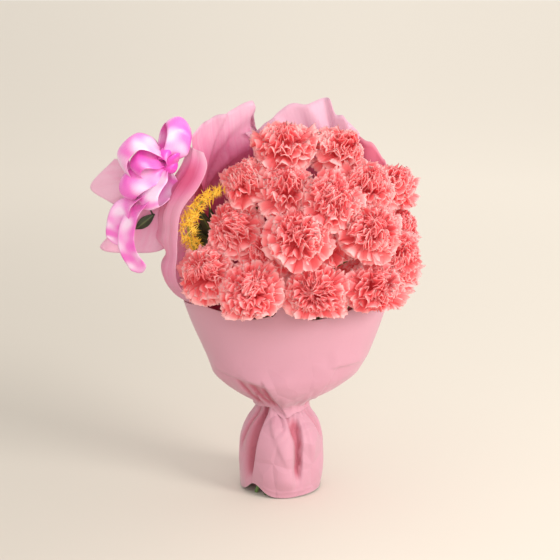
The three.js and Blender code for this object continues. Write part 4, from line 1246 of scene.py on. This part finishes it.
def tissue_finish(look):
    """Frosted tissue: painted shade where it goes down into the bunch, inside its rolled edge and a little on
    its under side, painted light higher up, a painted highlight along its cut edge, and light through it.
    """
    finish = Finish("frosted_tissue", Roughness=0.5, Sheen_Weight=0.2, Sheen_Roughness=0.4)
    fibre = finish.noise(420.0, 3.0, 0.7)
    cloud = finish.noise(16.0, 3.0)
    edge, height, under, roll = (finish.attribute(key) for key in ("edge", "height", "under", "roll"))
    streaks = finish.noise(5.0, 2.0, 0.6, finish.place("UV"), (7, 0.8, 1))
    # painted shade and light: height, under and roll move the colour between the painted shade and the
    # painted light
    level = height + cloud * 0.4 + streaks * 0.35 - 0.38 - under * 0.12 - roll * 0.8
    layers = (
        look.tissue_painted_shade,
        (finish.between(level, 0.12, 0.5), look.tissue),
        (finish.between(level, 0.5, 0.9), look.tissue_painted_light),
        # painted highlight: paler along the cut edge
        (edge * 0.7, look.tissue_painted_light),
    )
    finish.set("Base Color", finish.layered(*layers))
    finish.set("Alpha", 0.86 - fibre * 0.12 + edge * 0.14)
    finish.bump(cloud * 1.0 + streaks * 0.9 + fibre * 0.08, 1.6, 0.4)
    finish.glow_through(0.4, *layers)
    return finish.material


def satin_finish(look):
    """Satin ribbon: fine lengthwise threads, and bands of pale sheen that run across it."""
    finish = Finish("satin_ribbon", Roughness=0.26, Sheen_Weight=0.2, Coat_Weight=0.3, Coat_Roughness=0.18)
    run = finish.place("UV")
    threads = finish.noise(40.0, 1.0, 0.5, run, (8, 0.4, 1))
    bands = finish.noise(3.2, 1.0, 0.4, run, (0.25, 1.6, 1))
    level = bands + threads * 0.08 + finish.attribute("sheen") * 0.16 - 0.08
    colour = finish.ramp(level, [(0.36, look.ribbon_deep), (0.5, look.ribbon), (0.66, look.ribbon_sheen)])
    finish.set("Base Color", colour)
    finish.set("Roughness", threads * 0.12 + 0.2)
    finish.bump(threads, 0.25, 0.3)
    finish.glow_through(0.15, look.ribbon)
    return finish.material


def goldenrod_finish(look):
    """Florets that run from green at the stalk through deep gold to yellow, with a fine grain and a faint
    painted gold glow.
    """
    # Emission_Strength makes the florets glow faintly gold: painted light in the hollow they sit in
    finish = Finish("goldenrod_florets", Roughness=0.7, Emission_Strength=0.12)
    tone = finish.attribute("tone")
    cloud = finish.noise(90.0, 2.0)
    stops = [(0.02, look.green), (0.22, look.gold_deep), (0.85, look.gold)]
    finish.set("Base Color", finish.ramp(tone * 0.9 + cloud * 0.25 - 0.1, stops))
    finish.set("Roughness", cloud * 0.3 + 0.55)
    finish.bump(finish.noise(900.0, 2.0), 0.3, 0.4)
    # painted glow in gold
    finish.set("Emission Color", look.gold)
    finish.glow_through(0.35, look.gold)
    return finish.material


def stem_finish(look):
    """Green with lengthwise streaks, a little lighter on the calyx and pale at the joints."""
    finish = Finish("stem_green", Roughness=0.5)
    joint, calyx = finish.attribute("joint"), finish.attribute("calyx")
    streaks = finish.noise(60.0, 3.0, 0.6, stretch=(4, 4, 0.25))
    colour = finish.ramp(streaks + calyx * 0.12, [(0.3, 0.55 * np.array(look.green)), (0.7, look.green)])
    colour = finish.mix(joint * 0.45, colour, look.green_pale)
    finish.set("Base Color", colour)
    finish.set("Roughness", streaks * 0.3 + 0.38)
    finish.bump(streaks, 0.4, 0.4)
    return finish.material


def leaf_finish(look):
    """Dark green in soft patches, with a lighter midrib and a slight shine."""
    finish = Finish("dark_leaf", Roughness=0.42, Coat_Weight=0.12, Coat_Roughness=0.3)
    rib = finish.attribute("rib")
    cloud = finish.noise(120.0, 3.0)
    colour = finish.ramp(cloud, [(0.35, 0.45 * np.array(look.leaf)), (0.75, look.leaf)])
    finish.set("Base Color", finish.mix(rib * 0.5, colour, look.green))
    finish.set("Roughness", cloud * 0.25 + 0.35)
    finish.bump(rib * 0.6 + cloud * 0.4, 0.5, 0.5)
    return finish.material


def twine_finish(look):
    """Jute: slanting strands with a fuzz over them."""
    finish = Finish("jute_twine", Roughness=0.9)
    bands = {"Vector": finish.place("UV"), "Scale": 14.0, "Distortion": 1.5}
    strands = finish.node("ShaderNodeTexWave", {"bands_direction": "DIAGONAL"}, bands)
    fuzz = finish.noise(500.0, 3.0)
    stops = [(0.25, 0.5 * np.array(look.twine)), (0.8, look.twine)]
    finish.set("Base Color", finish.ramp(strands * 0.6 + fuzz * 0.4, stops))
    finish.set("Roughness", fuzz * 0.2 + 0.75)
    finish.bump(strands + fuzz * 0.4, 0.6, 0.6)
    return finish.material


# ---- The add-on ----
def colour_of(name, description, *screen):
    """A colour of the panel, given by its screen values."""
    return bpy.props.FloatVectorProperty(
        name=name, description=description, subtype="COLOR", size=3, min=0, max=1, default=shade(*screen)
    )


class CarnationLook(bpy.types.PropertyGroup):
    """Sizes and colours that a user would change."""

    frill: bpy.props.FloatProperty(
        name="Frill", description="Height of the petals' frill against the usual",
        default=1.0, min=0, max=2, subtype="FACTOR",
    )
    petal_root: colour_of("Petal root", "Coral deep inside a head", 236, 60, 74)
    petal_blade: colour_of("Petal blade", "Salmon over most of a petal", 255, 146, 150)
    petal_margin: colour_of("Petal margin", "Pale fringe of a petal", 255, 208, 207)
    paper: colour_of("Paper", "Front wrap and skirt", 213, 155, 173)
    paper_back: colour_of("Back paper", "Darker sheet behind the heads", 222, 112, 142)
    tissue: colour_of("Tissue", "Frosted tissue in the open", 240, 150, 194)
    # painted shade and painted light of the tissue: deep down between the layers, pale on its upper part and
    # cut edge
    tissue_painted_shade: colour_of("Tissue, deep", "Tissue down between the layers", 230, 110, 158)
    tissue_painted_light: colour_of("Tissue, pale", "Cut edge and upper part of the tissue", 242, 204, 222)
    ribbon: colour_of("Ribbon", "Satin of the bow", 248, 128, 214)
    ribbon_deep: colour_of("Ribbon, deep", "Satin in its shadows", 246, 84, 206)
    ribbon_sheen: colour_of("Ribbon, sheen", "Satin where it shines", 252, 220, 246)
    gold: colour_of("Goldenrod", "Rays of the florets", 255, 236, 112)
    gold_deep: colour_of("Goldenrod, deep", "Middles of the florets", 240, 190, 52)
    green: colour_of("Green", "Stems and calyxes", 116, 148, 84)
    green_pale: colour_of("Pale green", "Joints of the stems", 172, 190, 138)
    leaf: colour_of("Leaf", "Dark filler leaves", 58, 74, 44)
    twine: colour_of("Twine", "Twine at the neck", 196, 176, 138)
    floor: colour_of("Floor", "Studio floor", 222, 214, 202)
    key_light: bpy.props.FloatProperty(
        name="Key light", description="Large soft light at the right", default=66.0, min=0, unit="POWER"
    )
    distance: bpy.props.FloatProperty(
        name="Camera distance", description="From the camera to the middle of the bunch",
        default=1.508, min=0.5, unit="LENGTH",
    )


def look_of(context):
    """The sizes and colours that the panel shows."""
    return context.scene.carnation_look


def once(name, make, *arguments):
    """The finish of that name, made if it isn't there yet."""
    return bpy.data.materials.get(name) or make(*arguments)


class CARNATION_OT_heads(bpy.types.Operator):
    """Carnation heads of ruffled petals, pressed against their neighbours"""

    bl_idname = "carnation.heads"
    bl_label = "Carnation heads"

    def execute(self, context):
        look = look_of(context)
        points, gaps = obstacles()

        def walls(index):
            """What a head's petals stop at, and how near: sheets, the other stems and calyxes."""
            near = [k for k in range(len(PATHS)) if k != index]
            lines = np.concatenate([spline(PATHS[k], np.linspace(0, 1, 60)) for k in near])
            cups = nearest(STEM_TOPS[:HEADS], CENTRES, CENTRES[index])[np.arange(HEADS) != index]
            places = np.concatenate([points, lines, cups])
            room = np.concatenate([gaps, np.full(len(lines), STEM_RADIUS + 1.5), np.full(len(cups), 7.5)])
            return places, room

        finish = once("carnation_petal", petal_finish, look)
        for index in range(HEADS):
            name = f"bloom_{index + 1:02d}"
            add_piece(f"head_{index + 1:02d}", bloom_shape(index, look.frill, walls), finish, "petal", name)
        return {"FINISHED"}


class CARNATION_OT_stems(bpy.types.Operator):
    """Jointed stems with their calyxes"""

    bl_idname = "carnation.stems"
    bl_label = "Stems"

    def execute(self, context):
        finish = once("stem_green", stem_finish, look_of(context))
        for k in range(HEADS):
            add_piece(f"stalk_{k + 1:02d}", stem_shape(k), finish, "stem", f"stem_{k + 1:02d}")
        for k in range(2):
            node = f"goldenrod_{k + 1}_stem"
            add_piece(f"goldenrod_{k + 1}_stalk", goldenrod_stalk_shape(k), finish, "stem", node)
        return {"FINISHED"}


class CARNATION_OT_goldenrod(bpy.types.Operator):
    """Sprays of star florets"""

    bl_idname = "carnation.goldenrod"
    bl_label = "Goldenrod"

    def execute(self, context):
        finish = once("goldenrod_florets", goldenrod_finish, look_of(context))
        for k in range(2):
            name = f"goldenrod_{k + 1}"
            add_piece(f"{name}_florets", goldenrod_shape(k), finish, "goldenrod", f"{name}_flowers")
        return {"FINISHED"}


class CARNATION_OT_foliage(bpy.types.Operator):
    """Dark leaves between the heads and in the bow"""

    bl_idname = "carnation.foliage"
    bl_label = "Foliage"

    def execute(self, context):
        finish = once("dark_leaf", leaf_finish, look_of(context))
        for k in range(2):
            add_piece(f"leaves_{k + 1}", foliage_shape(k), finish, "leaf", f"foliage_{k + 1}")
        add_piece("sprig", sprig_shape(), finish, "leaf", "bow_sprig")
        return {"FINISHED"}


class CARNATION_OT_paper(bpy.types.Operator):
    """Front wrap with its creases, back wrap, and the pleated skirt"""

    bl_idname = "carnation.paper"
    bl_label = "Paper"

    def execute(self, context):
        look = look_of(context)
        pale = once("wrapping_paper", paper_finish, "wrapping_paper", look.paper)
        dark = once("wrapping_paper_back", paper_finish, "wrapping_paper_back", look.paper_back)
        add_piece("front_paper", front_wrap_shape(), pale, "wrap", "front_wrap")
        add_piece("back_paper", back_wrap_shape(), dark, "wrap", "back_wrap")
        add_piece("skirt_paper", skirt_shape(), pale, "wrap", "skirt_wrap")
        return {"FINISHED"}


class CARNATION_OT_tissue(bpy.types.Operator):
    """Frosted tissue round the heads and behind the bow"""

    bl_idname = "carnation.tissue"
    bl_label = "Tissue"

    def execute(self, context):
        finish = once("frosted_tissue", tissue_finish, look_of(context))
        for node, name, flat in (
            ("tissue_left", "tissue_sheet_left", (0.1, 0.36)),
            ("tissue_right", "tissue_sheet_right", (0.1, 0.36)),
            ("tissue_side", "tissue_sheet_side", (0.07, 0.32)),
        ):
            piece = add_piece(name, tissue_shape(node), finish, "tissue", node)
        piece = add_piece("bow_tissue_flaps", bow_tissue_shape(), finish, "tissue", "bow_tissue")
        return {"FINISHED"}


class CARNATION_OT_twine(bpy.types.Operator):
    """Twine round the stems and round the wrapping"""

    bl_idname = "carnation.twine"
    bl_label = "Twine"

    def execute(self, context):
        finish = once("jute_twine", twine_finish, look_of(context))
        binding = twine_shape(BUNDLE_RADIUS + 1.9, 101.6, 106.4, 4, 1.0)
        add_piece("stem_twine", binding, finish, "twine", "stem_binding")
        add_piece("neck_twine", twine_shape(26.7, 101.4, 104.6, 3, 0.7), finish, "twine", "neck_tie")
        return {"FINISHED"}


class CARNATION_OT_bow(bpy.types.Operator):
    """Satin bow with seven loops and two tails"""

    bl_idname = "carnation.bow"
    bl_label = "Bow"

    def execute(self, context):
        finish = once("satin_ribbon", satin_finish, look_of(context))
        add_piece("satin_bow", bow_shape(), finish, "ribbon", "ribbon_bow")
        return {"FINISHED"}


class CARNATION_OT_studio(bpy.types.Operator):
    """Pale floor with painted light, lighter away from the middle and towards the right, soft lights and the
    camera
    """

    bl_idname = "carnation.studio"
    bl_label = "Studio"

    def execute(self, context):
        look, scene = look_of(context), context.scene
        scene.view_settings.view_transform = "Standard"
        mesh = bpy.data.meshes.new("studio_floor")
        lines, half, below = 21, 600, 0.0001
        side = np.linspace(-half, half, lines)
        x, y = np.meshgrid(side, side)
        at = np.arange(lines**2).reshape(lines, lines)
        quads = np.stack([at[:-1, :-1], at[:-1, 1:], at[1:, 1:], at[1:, :-1]], -1).reshape(-1, 4)
        spots = np.stack([x, y, np.full(x.shape, -below)], -1).reshape(-1, 3)
        mesh.from_pydata(spots.tolist(), [], quads.tolist())
        floor = bpy.data.objects.new("studio_floor", mesh)
        scene.collection.objects.link(floor)
        finish = Finish("studio_floor", Roughness=0.85)
        cloud = finish.noise(3.0, 2.0)
        place = finish.place()
        x, y = (finish.node("ShaderNodeSeparateXYZ", values={0: place}, output=k) for k in (0, 1))
        # painted light: the floor's colour gets lighter away from the middle and towards the right
        distance = (x * x + y * y) ** 0.5
        away = finish.between(distance, 0.25, 3.0, "SMOOTHSTEP")
        right = finish.between(x / (distance + 0.9), -0.3, 0.12, "SMOOTHSTEP")
        light = away * 0.2 + right * 0.2 + cloud * 0.01
        # dark and pale: the two ends of the floor's painted light
        dark, pale = (tuple(share * c for c in look.floor) for share in (0.8, 1.2))
        finish.set("Base Color", finish.mix(light * 2.5, dark, pale))
        mesh.materials.append(finish.material)

        world = bpy.data.worlds.new("studio")
        scene.world = world
        world.use_nodes = True
        world.node_tree.nodes["Background"].inputs[0].default_value = (1.0, 0.975, 0.94, 1)
        world.node_tree.nodes["Background"].inputs[1].default_value = 0.98

        def lamp(name, place, aim, size, power, colour):
            data = bpy.data.lights.new(name, "AREA")
            data.shape, data.size, data.energy, data.color = "DISK", size, power, colour
            light = bpy.data.objects.new(name, data)
            light.location = place
            turn_to(light, aim)
            scene.collection.objects.link(light)

        lamp("key", (2.3, -1.7, 1.35), (0, 0, 0.22), 1.25, look.key_light, (1, 0.97, 0.93))
        lamp("front", (0.3, -2.8, 1.1), (0, 0, 0.25), 1.6, 16.0, (1, 0.98, 0.96))

        camera = bpy.data.objects.new("camera", bpy.data.cameras.new("camera"))
        camera.data.lens = 85
        camera.data.sensor_width = 36
        middle, rise = 0.246, math.radians(12)
        camera.location = (0, -look.distance * math.cos(rise), middle + look.distance * math.sin(rise))
        turn_to(camera, (0, 0, middle))
        scene.collection.objects.link(camera)
        scene.camera = camera
        return {"FINISHED"}


def turn_to(piece, aim):
    """Turns a lamp or camera so that it looks at a point."""
    away = np.array(piece.location) - aim
    piece.rotation_euler = (math.acos(away[2] / np.linalg.norm(away)), 0, math.atan2(away[0], -away[1]))


OPERATORS = (
    CARNATION_OT_studio,
    CARNATION_OT_paper,
    CARNATION_OT_tissue,
    CARNATION_OT_heads,
    CARNATION_OT_stems,
    CARNATION_OT_goldenrod,
    CARNATION_OT_foliage,
    CARNATION_OT_twine,
    CARNATION_OT_bow,
)


class CARNATION_PT_panel(bpy.types.Panel):
    """Everything in the bunch, one button each"""

    bl_idname = "CARNATION_PT_panel"
    bl_label = "Carnation Bunch"
    bl_space_type = "VIEW_3D"
    bl_region_type = "UI"
    bl_category = "Carnation Bunch"

    def draw(self, context):
        for operator in OPERATORS:
            self.layout.operator(operator.bl_idname)
        for name in CarnationLook.__annotations__:
            self.layout.prop(look_of(context), name)


CLASSES = (CarnationLook, *OPERATORS, CARNATION_PT_panel)


def register():
    for each in CLASSES:
        bpy.utils.register_class(each)
    bpy.types.Scene.carnation_look = bpy.props.PointerProperty(type=CarnationLook)


def unregister():
    del bpy.types.Scene.carnation_look
    for each in reversed(CLASSES):
        bpy.utils.unregister_class(each)


def main():
    register()
    for operator in OPERATORS:
        group, name = operator.bl_idname.split(".")
        getattr(getattr(bpy.ops, group), name)()


if __name__ == "__main__":
    main()
